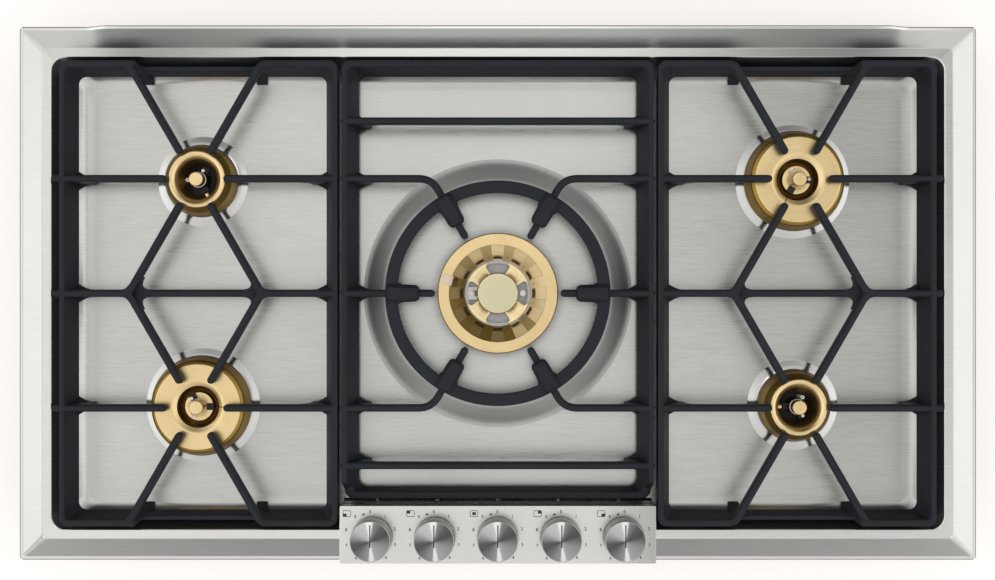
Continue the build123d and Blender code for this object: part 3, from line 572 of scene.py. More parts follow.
darkPlastic = grainyCoat("darkPlastic", (0.018, 0.018, 0.019), (0.028, 0.028, 0.030), (0.42, 0.58),
                         pebble=1400.0, bump=0.2)
footRubber = grainyCoat("footRubber", (0.022, 0.022, 0.022), (0.034, 0.034, 0.034), (0.62, 0.8), pebble=900.0,
                        bump=0.2)
sealRubber = grainyCoat("sealRubber", (0.045, 0.045, 0.046), (0.065, 0.065, 0.066), (0.75, 0.9),
                        pebble=1600.0, bump=0.35)
dialInk = grainyCoat("dialInk", (0.022, 0.022, 0.023), (0.036, 0.036, 0.037), (0.5, 0.6), bump=0.05)
pointerInk = grainyCoat("pointerInk", (0.010, 0.010, 0.011), (0.018, 0.018, 0.019), (0.45, 0.6), bump=0.05)


# Tray: rim with its slope and band, the trough, and the round plateau in its middle

tray = {"halfX": 472.0, "halfY": 263.0, "bandZ": 62.0, "lipZ": 71.0, "rearRise": 9.0, "raisedHalf": 383.0,
        "raisedEnd": 407.0, "plateauTop": 113.0, "plateauFoot": 133.0, "plateauRise": 10.0,
        "notchHalf": 156.35, "notchRear": -208.2, "edgeShadeWidth": 1.1, "lipInset": 3.4, "slopeInset": 19.4,
        "bandInset": 28.8}


def trayLoops():
    # rounded rectangles from under the rim over the lip and down to the floor, then circles up the plateau
    def rim(inset, corner, z, lift=0.0):
        return [tray["halfX"] - inset, tray["halfY"] - inset, corner, z, lift]

    band, lip = tray["bandZ"], tray["lipZ"]
    # each row is half the width, half the depth, the corner, the height and the share of the rear rise
    rows = [rim(29.0, 13, band - 1.7), rim(20.4, 2, band - 1.7), rim(4.4, 2, lip - 2.0, 1),
            rim(1.5, 2.5, lip - 2.4, 1), rim(1.5, 2.5, 58.2), rim(0, 4, 58), rim(0, 4, lip, 1),
            rim(3.3, 3.0, lip, 1), rim(19.5, 6.5, band), rim(28.4, 13, band), [427.2, 222.3, 12, 39.0, 0],
            [418.5, 214.4, 12, 31.9, 0], [412.73, 209.3, 12.6, floorZ + 0.35, 0],
            [409.0, 206.0, 13, floorZ, 0], [401.0, 198.0, 16, floorZ, 0]]
    reach = [0, 0.5, 0.6, 0.4, 0.2, 0.2, 1.4, 0.8, 1.2, 1.6, 4.0, 4.5, 0, 4.8, 0]
    rows = eased(rows, reach, steps=6)
    wide = 213 * np.tan(np.radians(np.arange(-60, 61, 4)))
    turns = [side * x for side in (-1, 1) for x in (156.35, 383, 389, 395, 401, 407)]
    xs = np.unique(np.concatenate([wide, turns]))
    ys = np.linspace(-180, 180, 19)
    loops = []
    for halfX, halfY, corner, z, lift in rows:
        squeeze = min(1.0, (halfX - corner - 372) / 37)
        spots = np.where(np.abs(xs) > 371, np.sign(xs) * (371 + (np.abs(xs) - 371) * squeeze), xs)
        flat = roundedLoop(halfX, halfY, corner, spots, ys)
        fall = tray["raisedEnd"] - tray["raisedHalf"]
        share = np.clip((tray["raisedEnd"] - np.abs(flat[:, 0])) / fall, 0, 1)
        share = share * share * (3 - 2 * share) * (flat[:, 1] > 0)
        loops.append(np.column_stack([flat, z + tray["rearRise"] * lift * share]))
    floorLoop = loops[-1]
    angle = np.arctan2(floorLoop[:, 1], floorLoop[:, 0])
    ring = np.stack([np.cos(angle), np.sin(angle)], -1)
    foot, crest = tray["plateauFoot"], tray["plateauTop"]
    for share in (0.15, 0.4, 0.7, 1.0):
        flat = floorLoop[:, :2] * (1 - share) + ring * (foot + 6) * share
        loops.append(atHeight(flat, floorZ))
    rise = tray["plateauRise"]
    climb = eased([(foot + 3, 0), (foot - 1, 0), (crest + 1, rise), (crest - 5, rise)], [0, 4.0, 4.0, 0], 9)
    radii = np.concatenate([climb[:, 0], [100.0, 80.0, 60.0, 46.0]])
    heights = np.concatenate([climb[:, 1], [rise] * 4])
    loops += [atHeight(ring * radius, floorZ + height) for radius, height in zip(radii, heights)]
    return np.array(loops)


def makeTray():
    # the skin without its notch for the panel; a face's look follows from its distance to the rim's sides
    part = loft(trayLoops())
    centres = np.array([part["points"][face].mean(0) for face in part["faces"]])
    tall = np.array([np.ptp(part["points"][face][:, 2]) for face in part["faces"]]) > 5
    x, y, z = np.abs(centres[:, 0]), centres[:, 1], centres[:, 2] - tray["bandZ"]
    toSide, toRear = tray["halfX"] - x, tray["halfY"] - y
    inset, rear, radius = np.minimum(toSide, tray["halfY"] - np.abs(y)), toRear < toSide, np.hypot(x, y)
    # the faces at the rim's outer edge, which take the painted shade
    edgeShade = (inset < tray["edgeShadeWidth"]) & (z > 2) & ~tall
    slope = rear & (toRear > tray["lipInset"]) & (toRear < tray["slopeInset"]) & (z > 0)
    band = rear & (toRear > tray["slopeInset"]) & (toRear < tray["bandInset"]) & (z > -1)
    dome = (radius > tray["plateauTop"] - 6) & (radius < tray["plateauFoot"] + 3.2)
    inside = (inset > tray["bandInset"]) & (z < -0.6)
    hidden = (x < tray["notchHalf"]) & (y < tray["notchRear"])
    part["faces"] = [face for face, gone in zip(part["faces"], hidden) if not gone]
    part["look"] = np.select([edgeShade, slope, band, dome, inside], [3, 2, 5, 4, 1], 0)[~hidden]
    nodes = [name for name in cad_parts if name.startswith("trough")]
    makePiece("tray", [part], [rimSteel, troughSteel, slopeSteel, edgeShadeSteel, domeSteel, bandSteel], "cooktop",
              ["rim_frame", *nodes], sharp=50)


makeTray()
print("tray")


# Collars round the side burners

collar = {"small": (28.0, 44.0), "large": (42.0, 56.0), "rise": 3.0}


def makeCollars():
    # each collar is a turned profile (r, z): up the inside, over a flat top and down a slope to the floor
    parts = []
    for kind, places in (("small", smallPlaces), ("large", largePlaces)):
        inner, outer = collar[kind]
        top = floorZ + collar["rise"]
        for place in places.values():
            profile = [(inner, floorZ), (inner, top), (outer - 6.0, top), (outer + 1.2, floorZ + 0.15),
                       (outer + 2.0, floorZ - 0.05)]
            parts.append(turned(eased(profile, [0, 0.5, 3.0, 0.6, 0], 7), place, 128))
    makePiece("burnerCollars", parts, [collarSteel], "cooktop", ["burner_collars"])


makeCollars()
print("collars")


# Control panel with its printed dials, knobs

panel = {"halfX": 156.15, "rear": -209.3, "front": -266.4, "blockFront": -248.2, "bottom": 58.0,
         "blockBottom": 29.0, "corner": 1.5, "bevel": 0.8}
knob = {"pitch": 61.9, "y": -240.3, "foot": 76.5, "top": 98.5, "footRadius": 20.4, "topRadius": 19.7,
        "pointer": (-6.0, 16.0), "pointerWidth": 1.2}
dial = {"pitch": 62.7, "radius": 25.1, "height": 3.2, "weight": 0.016, "start": 91, "step": 36, "left": 5,
        "iconAt": (-23.4, 23.2), "icon": (8.0, 6.4), "iconLine": 0.55, "mark": (3.6, 3.0),
        "markShift": (1.95, 1.45), "triangleAngle": 108, "triangleRadius": 23.9,
        "triangle": [(-1.8, -1.1), (1.7, -1.1), (1.1, 1.2)]}
knobPlaces = [knob["pitch"] * (number - 2) for number in range(5)]
markPlaces = [(-1, -1), (-1, 1), (0, 0), (1, 1), (1, -1)]


def makePanel():
    # a folded cover whose edge is bevelled, and the block under it that fills the notch
    halfDepth = (panel["rear"] - panel["front"]) / 2
    centre = (0, (panel["rear"] + panel["front"]) / 2)
    xs = np.linspace(-140, 140, 7)
    ys = np.linspace(-16, 16, 3)
    rows = [(2.0, panelTop - 3), (2.0, panel["bottom"]), (0, panel["bottom"]), (0, panelTop), (8.0, panelTop)]
    rows = eased(rows, [0, 0, 0.2, panel["bevel"], 0], 6)
    loops = [(roundedLoop(panel["halfX"] - inset, halfDepth - inset, panel["corner"], xs, ys, 6, centre), z)
             for inset, z in rows]
    cover = loft([atHeight(flat, z) for flat, z in loops], capEnd=True)
    outline = box(-panel["halfX"], panel["blockFront"], panel["halfX"], panel["rear"])
    outline = eased(outline, panel["corner"], 4, closed=True)
    block = prism(outline, panel["blockBottom"], panel["bottom"] + 2, 0.3)
    makePiece("controlPanel", [cover, block], [panelSteel], "cooktop", ["control_panel"], sharp=40)


def makeKnobs():
    # the side goes from the foot up to the top and over a fine edge; the pointer is a line on the face
    foot, top, radius = knob["foot"], knob["top"], knob["topRadius"]
    side = eased([(3.2, foot + 1.0), (3.2, foot), (knob["footRadius"] - 0.4, foot),
                  (knob["footRadius"], foot + 3), (radius, top)], [0, 0.2, 0.5, 0.5, 0], 5)
    edge = np.array([(radius, top - 0.6), (radius - 0.05, top - 0.3), (radius - 0.3, top - 0.06),
                     (radius - 0.65, top)])
    side = np.vstack([side[:-1], edge])
    face = [(radius - 0.65, top), (12, top), (6, top), (2, top), (0, top)]
    low, high = [knob["y"] + reach for reach in knob["pointer"]]
    half = knob["pointerWidth"] / 2
    for number, x in enumerate(knobPlaces, 1):
        centre = (x, knob["y"])
        parts = [turned(side, centre, 128, look=1), turned(face, centre, 128),
                 prism(box(x - half, low, x + half, high), top - 0.3, top + 0.05, 0.02, look=2)]
        makePiece(f"knob{number}", parts, [knobMetal, knobSide, pointerInk], f"knob_{number}",
                  [f"knob_{number}"])


def letterShape(text):
    # a digit's flat mesh about its own middle, one unit high
    curve = bpy.data.curves.new("digit", "FONT")
    curve.body = text
    curve.align_x = "CENTER"
    curve.size = 1.0
    curve.offset = dial["weight"]
    holder = bpy.data.objects.new("digit", curve)
    mesh = bpy.data.meshes.new_from_object(holder)
    points = np.zeros(len(mesh.vertices) * 3)
    mesh.vertices.foreach_get("co", points)
    points = points.reshape(-1, 3)
    faces = [list(face.vertices) for face in mesh.polygons]
    bpy.data.objects.remove(holder)
    bpy.data.meshes.remove(mesh)
    middle = (points.min(0) + points.max(0)) / 2
    return (points - middle) / np.ptp(points[:, 1]), faces


def makeDials():
    # digits round each knob, a small triangle, and a framed mark that shows which burner the knob is for
    parts = []
    z = panelTop + 0.03
    digits = {number: letterShape(str(number)) for number in range(10) if number != dial["left"]}
    for place, mark in zip(knobPlaces, markPlaces):
        middle = (place * dial["pitch"] / knob["pitch"], knob["y"])
        for number, (shape, faces) in digits.items():
            spot = polar(middle, dial["radius"], dial["start"] - dial["step"] * number)
            parts.append({"points": shape * dial["height"] + [*spot, z], "faces": faces})
        triangle = np.array(polar(middle, dial["triangleRadius"], dial["triangleAngle"])) + dial["triangle"]
        parts.append({"points": atHeight(triangle, z), "faces": [[0, 1, 2]]})
        centre = np.array(middle) + dial["iconAt"]
        outer = roundedLoop(dial["icon"][0] / 2, dial["icon"][1] / 2, 1.0, [0], [0], 5, centre)
        parts.append(loft([atHeight(loop, z) for loop in (outer, insetOutline(outer, dial["iconLine"]))]))
        square = centre + np.array(mark) * dial["markShift"] + np.array(box(-1, -1, 1, 1)) * dial["mark"] / 2
        parts.append({"points": atHeight(square, z), "faces": [[0, 1, 2, 3]]})
    makePiece("dialPrint", parts, [dialInk], "cooktop")


makePanel()
makeKnobs()
makeDials()
print("panel, knobs and dials")


# Cast pan supports

support = {
    "wallFoot": 39.0, "lowTop": 59.0, "outerX": 432.3, "innerX": 157.5, "halfY": 229.9, "overhang": 7.3,
    "fingerGap": 28.0, "bendReach": 6.5, "nodeFillet": 8.0, "lowBarTop": 67.0, "legDepth": 15.0,
    "legLean": {1: 1.0, -1: 0.45}, "webRun": 13.0, "webHalf": 9.2, "padShift": 10.6, "padY": 213.8,
    "padHeight": 2.6, "centreHalfX": 154.0, "centreFront": -206.5, "crossbar": 170.0, "wokGap": 62.0,
    "wokBend": 12.7,
}
# a corner leg from its foot upwards: height, shift along x, outer and inner y, and half the width
legStations = [(33.6, 10.6, 216.3, 211.4, 5.0), (34.0, 10.6, 216.8, 211.0, 5.5),
               (38.0, 10.3, 221.0, 213.0, 5.5), (45.0, 8.6, 223.0, 217.0, 4.6),
               (54.0, 6.4, 226.0, 221.0, 3.4), (63.0, 4.4, 228.0, 224.0, 2.9), (69.0, 3.0, 228.0, 225.4, 2.6)]


def wallRows(halfX, halfY, draft, top, push=0.0):
    # the wall's section goes up the outside, over the rounded top and down the inside; its insets change
    # evenly with the height
    foot = support["wallFoot"]

    def row(z, outside, extra):
        share = (z - foot) / (supportTop - foot)
        start, end = ((2.6, 8.4, 12.0), (0.0, 0.0, 8.0)) if outside else ((draft, 11.7, 8.0), (5.5, 7.0, 4.0))
        insetX, insetY, corner = np.array(start) + (np.array(end) - start) * share - [0, push * outside, 0]
        return [halfX - insetX - extra, halfY - insetY - extra, max(corner, 1.0), z,
                0.0 if outside else 1 - share]

    r = 1.7
    turn = np.linspace(0, pi / 2, 5)
    rows = [row(foot, True, 0.6), row(foot + 0.6, True, 0)]
    rows += [row(top - r + r * sin(t), True, r * (1 - cos(t))) for t in turn]
    rows += [row(top - r + r * sin(t), False, -r * (1 - cos(t))) for t in turn[::-1]]
    rows += [row(foot + 0.6, False, 0), row(foot, False, -0.6)]
    return rows


def frameWall(xRange, yRange, draft, lowHalf, lowSides, push=0.0, lean=0.0):
    # a closed tube round the frame; its top sinks to the low rail where |x| < lowHalf on the low sides; push
    # moves the low rail outwards, and lean shifts the inner face's foot along x
    halfX, halfY = (xRange[1] - xRange[0]) / 2, (yRange[1] - yRange[0]) / 2
    centre = ((xRange[0] + xRange[1]) / 2, (yRange[0] + yRange[1]) / 2)
    fall = np.linspace(lowHalf - 5, lowHalf + 1, 7)
    between = np.linspace(-lowHalf + 6, lowHalf - 6, 7)
    xs = np.unique(np.concatenate([[-halfX + 20, halfX - 20], -fall, fall, between]))
    xs = xs[np.abs(xs) < halfX - 13]
    ys = np.linspace(-halfY + 20, halfY - 20, 5)
    loops = []
    for high, low in zip(wallRows(halfX, halfY, draft, supportTop - 0.15),
                         wallRows(halfX, halfY, draft, support["lowTop"], push)):
        highLoop, lowLoop = [atHeight(roundedLoop(*row[:3], xs, ys), row[3]) for row in (high, low)]
        share = np.clip((lowHalf - np.abs(highLoop[:, 0])) / 5, 0, 1)
        share = share * share * (3 - 2 * share) * np.isin(np.sign(highLoop[:, 1]), lowSides)
        share = (share * (np.abs(highLoop[:, 1]) > halfY - 20))[:, None]
        loops.append(highLoop * (1 - share) + lowLoop * share + [centre[0] + lean * high[4], centre[1], 0])
    return loft(loops, closeRows=True)


def filletWeb(at, first, second, radius, top=supportTop):
    # the corner between two bars, rounded by a curve that touches both bars' sides
    half = barStyle["halfWidth"]
    a = np.array([cos(radians(first)), sin(radians(first))])
    b = np.array([cos(radians(second)), sin(radians(second))])
    middle = (a + b) / np.linalg.norm(a + b)
    halfAngle = np.arccos(np.clip(a @ b, -1, 1)) / 2
    inner = np.array(at) + middle * half / sin(halfAngle)
    run = radius / tan(halfAngle)
    s = np.linspace(0, 1, 7)[:, None]
    curve = (1 - s) ** 2 * (inner + a * run) + 2 * s * (1 - s) * inner + s ** 2 * (inner + b * run)
    touch = run + half / tan(halfAngle)
    outline = np.vstack([[at], [np.array(at) + a * touch], curve, [np.array(at) + b * touch]])
    return prism(outline, top - barStyle["depth"] + 0.2, top - 0.12, 1.2)


def rootWeb(x, y, direction):
    # the foot of a leg where it meets the wall's inner face at x: wide at the wall, narrow to the inside
    s = np.linspace(0, 1, 7)
    half, wide, run = barStyle["halfWidth"] - 0.2, support["webHalf"], support["webRun"]
    side = np.column_stack([run * s, half + (wide - half) * (1 - s) ** 1.5])
    outline = np.vstack([[[-4.0, wide]], side, (side * [1, -1])[::-1], [[-4.0, -wide]]])
    return prism(outline * [direction, 1] + [x, y], support["wallFoot"] - 2.0, support["wallFoot"] + 3.5, 0.9)


def legPlate(x, y, direction):
    # an upright web under a bar's root: straight at the wall, sloped to the inside
    foot = floorZ + 2.0
    low = supportTop - barStyle["depth"] + 1.5
    outline = [(0, support["wallFoot"] + 2), (3, foot), (support["legDepth"], foot),
               (support["legDepth"], low - 11), (support["legDepth"] + 13, low), (0, low)]
    outline = eased([(x + direction * u, z) for u, z in outline], [1, 1.5, 1.5, 5, 3, 1], 4, closed=True)
    half = barStyle["halfWidth"] - 0.1
    return prism(outline, y - half, y + half, 0.8, axes="xzy")


def cornerLeg(x, lean, level):
    # a rounded rectangle at each station of the leg under a corner; it leans as the finger does
    loops = []
    for z, shift, outer, inner, half in legStations:
        middle = x - lean * shift * support["legLean"][lean]
        flat = eased(box(middle - half, outer, middle + half, inner), 1.0, 4, closed=True)
        loops.append(atHeight(flat * [1, level], z))
    return loft(loops, capStart=True, capEnd=True)


def sideSupportParts():
    # drawn for the right-hand support about its own middle; the left one is its mirror image
    gap = support["fingerGap"] + barStyle["halfWidth"]
    outerEnd = support["outerX"] - burnerX + support["overhang"] - barStyle["halfWidth"]
    innerEnd = support["innerX"] - burnerX + barStyle["halfWidth"]
    railY = support["halfY"] - barStyle["halfWidth"]
    railRun = (railY - burnerY) / tan(radians(60))
    nodeRun = burnerY / tan(radians(60))
    inner, outer, halfY = support["innerX"] - burnerX, support["outerX"] - burnerX, support["halfY"]
    fillet, lowTop = support["nodeFillet"], support["lowBarTop"]
    parts = [frameWall((inner, outer), (-halfY, halfY), 12.6, railRun - 1, (-1, 1), lean=2.9)]
    for level in (-1, 1):
        y = level * burnerY
        parts.append(roundBar([(outerEnd, y), (gap, y)]))
        parts.append(roundBar([(innerEnd, y), (-gap, y)]))
        for lean in (-1, 1):
            tip = (lean * gap / 2, y + level * gap * sin(radians(60)))
            corner = (lean * railRun, level * railY)
            run = eased([tip, corner, (corner[0] + lean * 26, corner[1])], support["bendReach"], 9)
            parts.append(roundBar(run))
            tip = (lean * gap / 2, y - level * gap * sin(radians(60)))
            parts.append(roundBar([tip, (lean * nodeRun, 0)]))
            side = 0 if lean > 0 else 180
            parts.append(filletWeb((lean * nodeRun, 0), side, 90 * level + 30 * lean * level, fillet))
            parts.append(cornerLeg(corner[0], lean, level))
    parts.append(roundBar([(outerEnd, 0), (nodeRun, 0)]))
    parts.append(roundBar([(innerEnd, 0), (-nodeRun, 0)]))
    parts.append(roundBar([(-nodeRun, 0), (nodeRun, 0)], lowTop))
    for lean, side, angles in ((-1, 0, (60, 300)), (1, 180, (120, 240))):
        for angle in angles:
            parts.append(filletWeb((lean * nodeRun, 0), side, angle, fillet, lowTop))
    for y in (-burnerY, 0, burnerY):
        parts += [legPlate(outerEnd - 14, y, -1), legPlate(innerEnd + 12, y, 1), rootWeb(inner + 15.0, y, 1),
                  rootWeb(outer - 9.6, y, -1)]
    return parts


def centreSupportParts():
    # a frame with two crossbars, two straight fingers and four that bend towards the middle
    half, low, high = support["centreHalfX"], support["centreFront"], support["halfY"]
    reach = half + 1.4 - barStyle["halfWidth"]
    gap = support["wokGap"] + barStyle["halfWidth"]
    parts = [frameWall((-half, half), (low, high), 13.9, half + 6, (-1,), push=2.3)]
    for y in (-support["crossbar"], support["crossbar"]):
        parts.append(roundBar([(-reach, y), (reach, y)]))
    for side in (-1, 1):
        parts.append(roundBar([(side * reach, 0), (side * gap, 0)]))
        for level in (-1, 1):
            corner = (side * burnerY / tan(radians(60)), level * burnerY)
            tip = (side * gap / 2, level * gap * sin(radians(60)))
            start = (side * reach, level * burnerY)
            parts.append(roundBar(eased([start, corner, tip], support["wokBend"], 15)))
        for y in (-support["crossbar"], -burnerY, 0, burnerY, support["crossbar"]):
            parts.append(legPlate(side * (half - 11), y, -side))
            parts.append(rootWeb(side * (half - 13.4), y, -side))
    return parts


def sidePads():
    # a pad under each leg and each corner leg, drawn for the right-hand support about its own middle
    outer, inner = support["outerX"] - burnerX - 20.4, support["innerX"] - burnerX + 25.7
    places = [(x, level * burnerY, floorZ, 3.5) for x in (outer, inner) for level in (-1, 0, 1)]
    railRun = (support["halfY"] - barStyle["halfWidth"] - burnerY) / tan(radians(60))
    places += [(lean * (railRun - support["padShift"] * support["legLean"][lean]), level * support["padY"],
                floorZ + 0.8, 2.6) for lean in (-1, 1) for level in (-1, 1)]
    rise = support["padHeight"]
    return [turned([(0, low), (r, low), (r, low + rise), (0, low + rise)], (x, y), 24)
            for x, y, low, r in places]


def makeSupports():
    # the left support and its pads are the right one's with x turned to -x
    kinds = [("panSupport", sideSupportParts(), castIron, "pan_support", "cast_iron"),
             ("supportPads", sidePads(), footRubber, "support_feet", "rubber_feet")]
    for name, side in (("left", -1), ("right", 1)):
        for label, shapes, material, node, slot in kinds:
            parts = [mirrored(part, side, side * burnerX) for part in shapes]
            makePiece(f"{label}_{name}", parts, [material], f"support_{name}", [f"{node}_{name}"])
    makePiece("panSupport_centre", centreSupportParts(), [castIron], "support_centre", ["pan_support_centre"])


makeSupports()
print("pan supports")


# Wok ring

wokRing = {"inner": 99.0, "outer": 111.0, "low": 69.0, "top": 77.0, "saddleTop": 81.0,
           "saddleInner": 77.5, "saddleOuter": 109.4, "slotHalf": 4.2}


def saddle():
    # the saddle's section at stations along the radius; a slot below takes the finger
    low, crown, slot = wokRing["low"], wokRing["saddleTop"], wokRing["slotHalf"]
    first, last = wokRing["saddleInner"], wokRing["saddleOuter"]
    # radius, half the width at the base and at the top, and the height of the top
    stations = [(first, 5.0, 4.4, crown - 4.5), (first + 1.0, 6.6, 4.6, crown - 1.6),
                (first + 2.6, 7.8, 4.8, crown - 0.2), (first + 4.0, 8.3, 5.0, crown),
                (first + 17, 8.9, 5.3, crown), (first + 20, 10.4, 5.4, crown), (last - 4.0, 10.6, 5.4, crown),
                (last - 1.2, 10.2, 5.2, crown - 0.3), (last - 0.3, 9.8, 4.8, crown - 1.4),
                (last, 9.4, 4.6, crown - 2.6)]
    loops = []
    for r, base, top, z in stations:
        side = [(base, low), (base, low + 6.6), (base - 0.4, low + 7.2), (top + 0.5, z - 0.5), (top, z - 0.1),
                (top - 0.6, z)]
        under = [(slot, low), (slot, supportTop), (-slot, supportTop), (-slot, low)]
        section = [(-y, height) for y, height in side] + side[::-1] + under
        loops.append([(r, y, height) for y, height in section])
    return loft(loops, capStart=True, capEnd=True)


def makeWokRing():
    # a ring turned from a rounded rectangle (r, z), with a saddle every 60 degrees
    inner, outer, low, top = wokRing["inner"], wokRing["outer"], wokRing["low"], wokRing["top"]
    profile = eased(box(inner, low, outer, top), [0.6, 0.6, 1.6, 1.6], 6, closed=True)
    parts = [turned(profile, (0, 0), 180, closed=True)]
    parts += [rotated(saddle(), angle) for angle in range(0, 360, 60)]
    makePiece("wokRing", parts, [castIron], "wok_ring", ["wok_ring"])


makeWokRing()
print("wok ring")


# Side burners

cap = {"radius": 7.1, "top": 67.0, "stemRadius": 4.6}


def capParts(place, low, stemLook):
    # the narrow stem from the height low up to the cap, and the cap's flat face
    radius, top, stemRadius = cap["radius"], cap["top"], cap["stemRadius"]
    stem = eased([(stemRadius, low), (stemRadius, top - 5), (radius, top - 2.6), (radius, top - 0.6),
                  (radius - 0.7, top - 0.05)], [0, 1, 0.5, 0.4, 0], 5)
    face = [(radius - 0.7, top - 0.05), (radius - 1.0, top), (3, top), (0, top)]
    return [turned(stem, place, 64, look=stemLook), turned(face, place, 64, look=1)]


def rod(place, angle, radius, height, start, end, bevel, look):
    # a circle (r cos t, height + r sin t) carried from start to end along the radius at the given angle
    turn = np.linspace(0, 2 * pi, 17)[:-1]
    circle = np.stack([radius * np.cos(turn), height + radius * np.sin(turn)], -1)
    return rotated(prism(circle, start, end, bevel, axes="yzx", look=look), angle, place)


def makeSmallBurner(name, place):
    # the skirt, the convex rim and the bowl are three profiles (r, z) that meet, each in its own brass; the
    # skirt's and the bowl's are darker as painted shade
    f, across = floorZ, electrodeAngle[name] + 120
    side = eased([(14.6, f + 7), (36.8, f + 7), (36.8, f + 9), (33.4, f + 24), (28.4, f + 31.8)],
                 [0, 0.4, 0.8, 1.0, 0], 5)
    rim = eased([(28.4, f + 31.8), (27.4, f + 33), (24.4, f + 32.6), (20.6, f + 29.4)], [0, 0.9, 1.6, 0], 6)
    bowl = eased([(20.6, f + 29.4), (18.6, f + 23.0), (17.4, f + 18.0), (15.2, f + 14.0), (14.6, f + 7)],
                 [0, 3.0, 2.5, 2.0, 0], 6)
    parts = [turned(profile, place, 128, look=look) for look, profile in enumerate((side, rim, bowl))]
    makePiece(f"burnerRing_{name}", [*parts, rod(place, across, 2.3, f + 22.6, 15.6, 20.6, 0.6, 1)],
              [skirtShadeBrass, brass, wellShadeBrass], f"ring_{name}", [f"burner_ring_{name}"])
    collarRing = eased([(6.2, f + 22), (8.0, f + 22), (7.9, f + 24.2), (7.1, f + 24.6), (6.2, f + 23.6)],
                       [0, 0.1, 0.4, 0.4, 0], 5)
    makePiece(f"burnerCap_{name}", [*capParts(place, f + 22, 2), turned(collarRing, place, 64)],
              [pinSteel, brass, wellShadeBrass], "cooktop", [f"burner_cap_{name}"])


def makeLargeBurner(name, place):
    # the skirt, the flat face and the bore meet as on the small ones, skirt and bore in darker brass as
    # painted shade; a slit in the face points to the clip
    f, across = floorZ, electrodeAngle[name] + 120
    side = eased([(20.8, f + 7), (50.7, f + 7), (50.7, f + 9.5), (46.4, f + 25.5), (42.6, f + 27.8)],
                 [0, 0.4, 0.8, 1.6, 0], 6)
    face = eased([(42.6, f + 27.8), (42.0, f + 28), (25.8, f + 28), (21.0, f + 25.4)], [0, 0.3, 1.6, 0], 6)
    bore = eased([(21.0, f + 25.4), (20.4, f + 18.0), (18.0, f + 12.5), (14.4, f + 10.6), (14.2, f + 7.4),
                  (20.8, f + 7)], [0, 2.5, 2.0, 0.8, 0.3, 0], 6)
    slit = [(21.0, f + 25.6), (25.4, f + 28.1), (30.5, f + 28.15), (30.5, f + 27.5), (21.2, f + 24.6)]
    parts = [turned(profile, place, 128, look=look) for look, profile in enumerate((side, face, bore))]
    parts.append(rotated(prism(slit, -0.45, 0.45, 0, axes="xzy", look=3), across, place))
    makePiece(f"burnerRing_{name}", parts, [skirtShadeBrass, brass, wellShadeBrass, slotShade], f"ring_{name}",
              [f"burner_ring_{name}"])
    top = f + 20
    disc = eased([(0, f + 1.5), (8.2, f + 1.5), (8.2, top - 3), (14.2, top - 2), (14.2, top),
                  (cap["stemRadius"], top)], [0, 0.5, 0.5, 0.4, 0.4, 0], 5)
    parts = [turned(disc, place, 96, look=1), *capParts(place, top, 0),
             rod(place, across, 1.7, f + 22.0, 5.5, 8.4, 0.3, 2)]
    makePiece(f"burnerCap_{name}", parts, [wellShadeBrass, brass, brassDark], "cooktop", [f"burner_cap_{name}"])


def makeSideBurners():
    # a small one at the rear left and front right, a large one at the other two corners
    for name, place in smallPlaces.items():
        makeSmallBurner(name, place)
    for name, place in largePlaces.items():
        makeLargeBurner(name, place)


makeSideBurners()
print("side burners")


# Wok burner: flat brass ring, a cone with twelve ribs, the inner plate and the cap

wokPlate = {"radius": 32.0, "hub": 18.5, "low": 45.0, "high": 47.0,
            "edge": [(18.0, 6.6), (24.2, 10.9), (25.6, 11.6), (27.6, 11.7), (29.4, 10.6)]}
wokBurner = {"outer": 59.9, "coneOuter": 48.7, "coneInner": 33.2, "top": 61.0, "coneLow": 46.0, "ribs": 12,
             "ribHalf": 6.4, "recess": 1.5, "slotDepth": 2.4, "igniterAngle": 165, "capRadius": 20.5,
             "capTop": 62.0}


def coneHeight(radius):
    # the straight slope from the cone's foot to its upper edge
    slope = (wokBurner["top"] - wokBurner["coneLow"]) / (wokBurner["coneOuter"] - wokBurner["coneInner"])
    return wokBurner["coneLow"] + slope * (radius - wokBurner["coneInner"])


def coneFace():
    # a cone whose height drops by the recess between ribs, with a slot at its foot in each recess
    angle = np.linspace(0, 2 * pi, 721)
    radii = np.array([wokBurner["coneOuter"], 47.9, 47.6, 46.0, 43.0, 40.0, 38.2, 37.9, 36.4, 35.0, 34.7,
                      33.9, wokBurner["coneInner"]])[:, None]
    step = 360 / wokBurner["ribs"]
    degrees = np.degrees(angle)
    off = np.abs(degrees % step - step / 2)[None, :]
    between = np.clip((off - wokBurner["ribHalf"]) / 0.8, 0, 1)
    inside = np.clip((48.0 - radii) / 0.5, 0, 1) * np.clip((radii - 34.0) / 0.6, 0, 1)
    slot = np.clip((38.1 - radii) / 0.2, 0, 1) * np.clip((radii - 34.8) / 0.2, 0, 1)
    narrow = np.clip((off - wokBurner["ribHalf"] - 1.0) / 0.5, 0, 1)
    drop = wokBurner["recess"] * between * inside + wokBurner["slotDepth"] * slot * narrow
    height = coneHeight(radii) - drop
    points = np.stack([radii * np.cos(angle), radii * np.sin(angle), height], -1)
    onRib = off < wokBurner["ribHalf"] + 0.4
    facet = np.where(onRib, (np.floor(degrees / step) + 0.5) * step, np.round(degrees / step) * step % 360)
    uv = np.stack([facet / 360 + 0 * radii, onRib + 0 * radii], -1)
    return {"points": points.reshape(-1, 3), "faces": gridFaces(len(radii), len(angle)).tolist(),
            "uv": uv.reshape(-1, 2), "look": 2}


def conePoints(radius, angle, above):
    # (r cos a, r sin a, h(r) + above) on the cone's slope h, with the angle in degrees
    turn = np.radians(angle)
    return np.stack([radius * np.cos(turn), radius * np.sin(turn), coneHeight(radius) + above], -1)


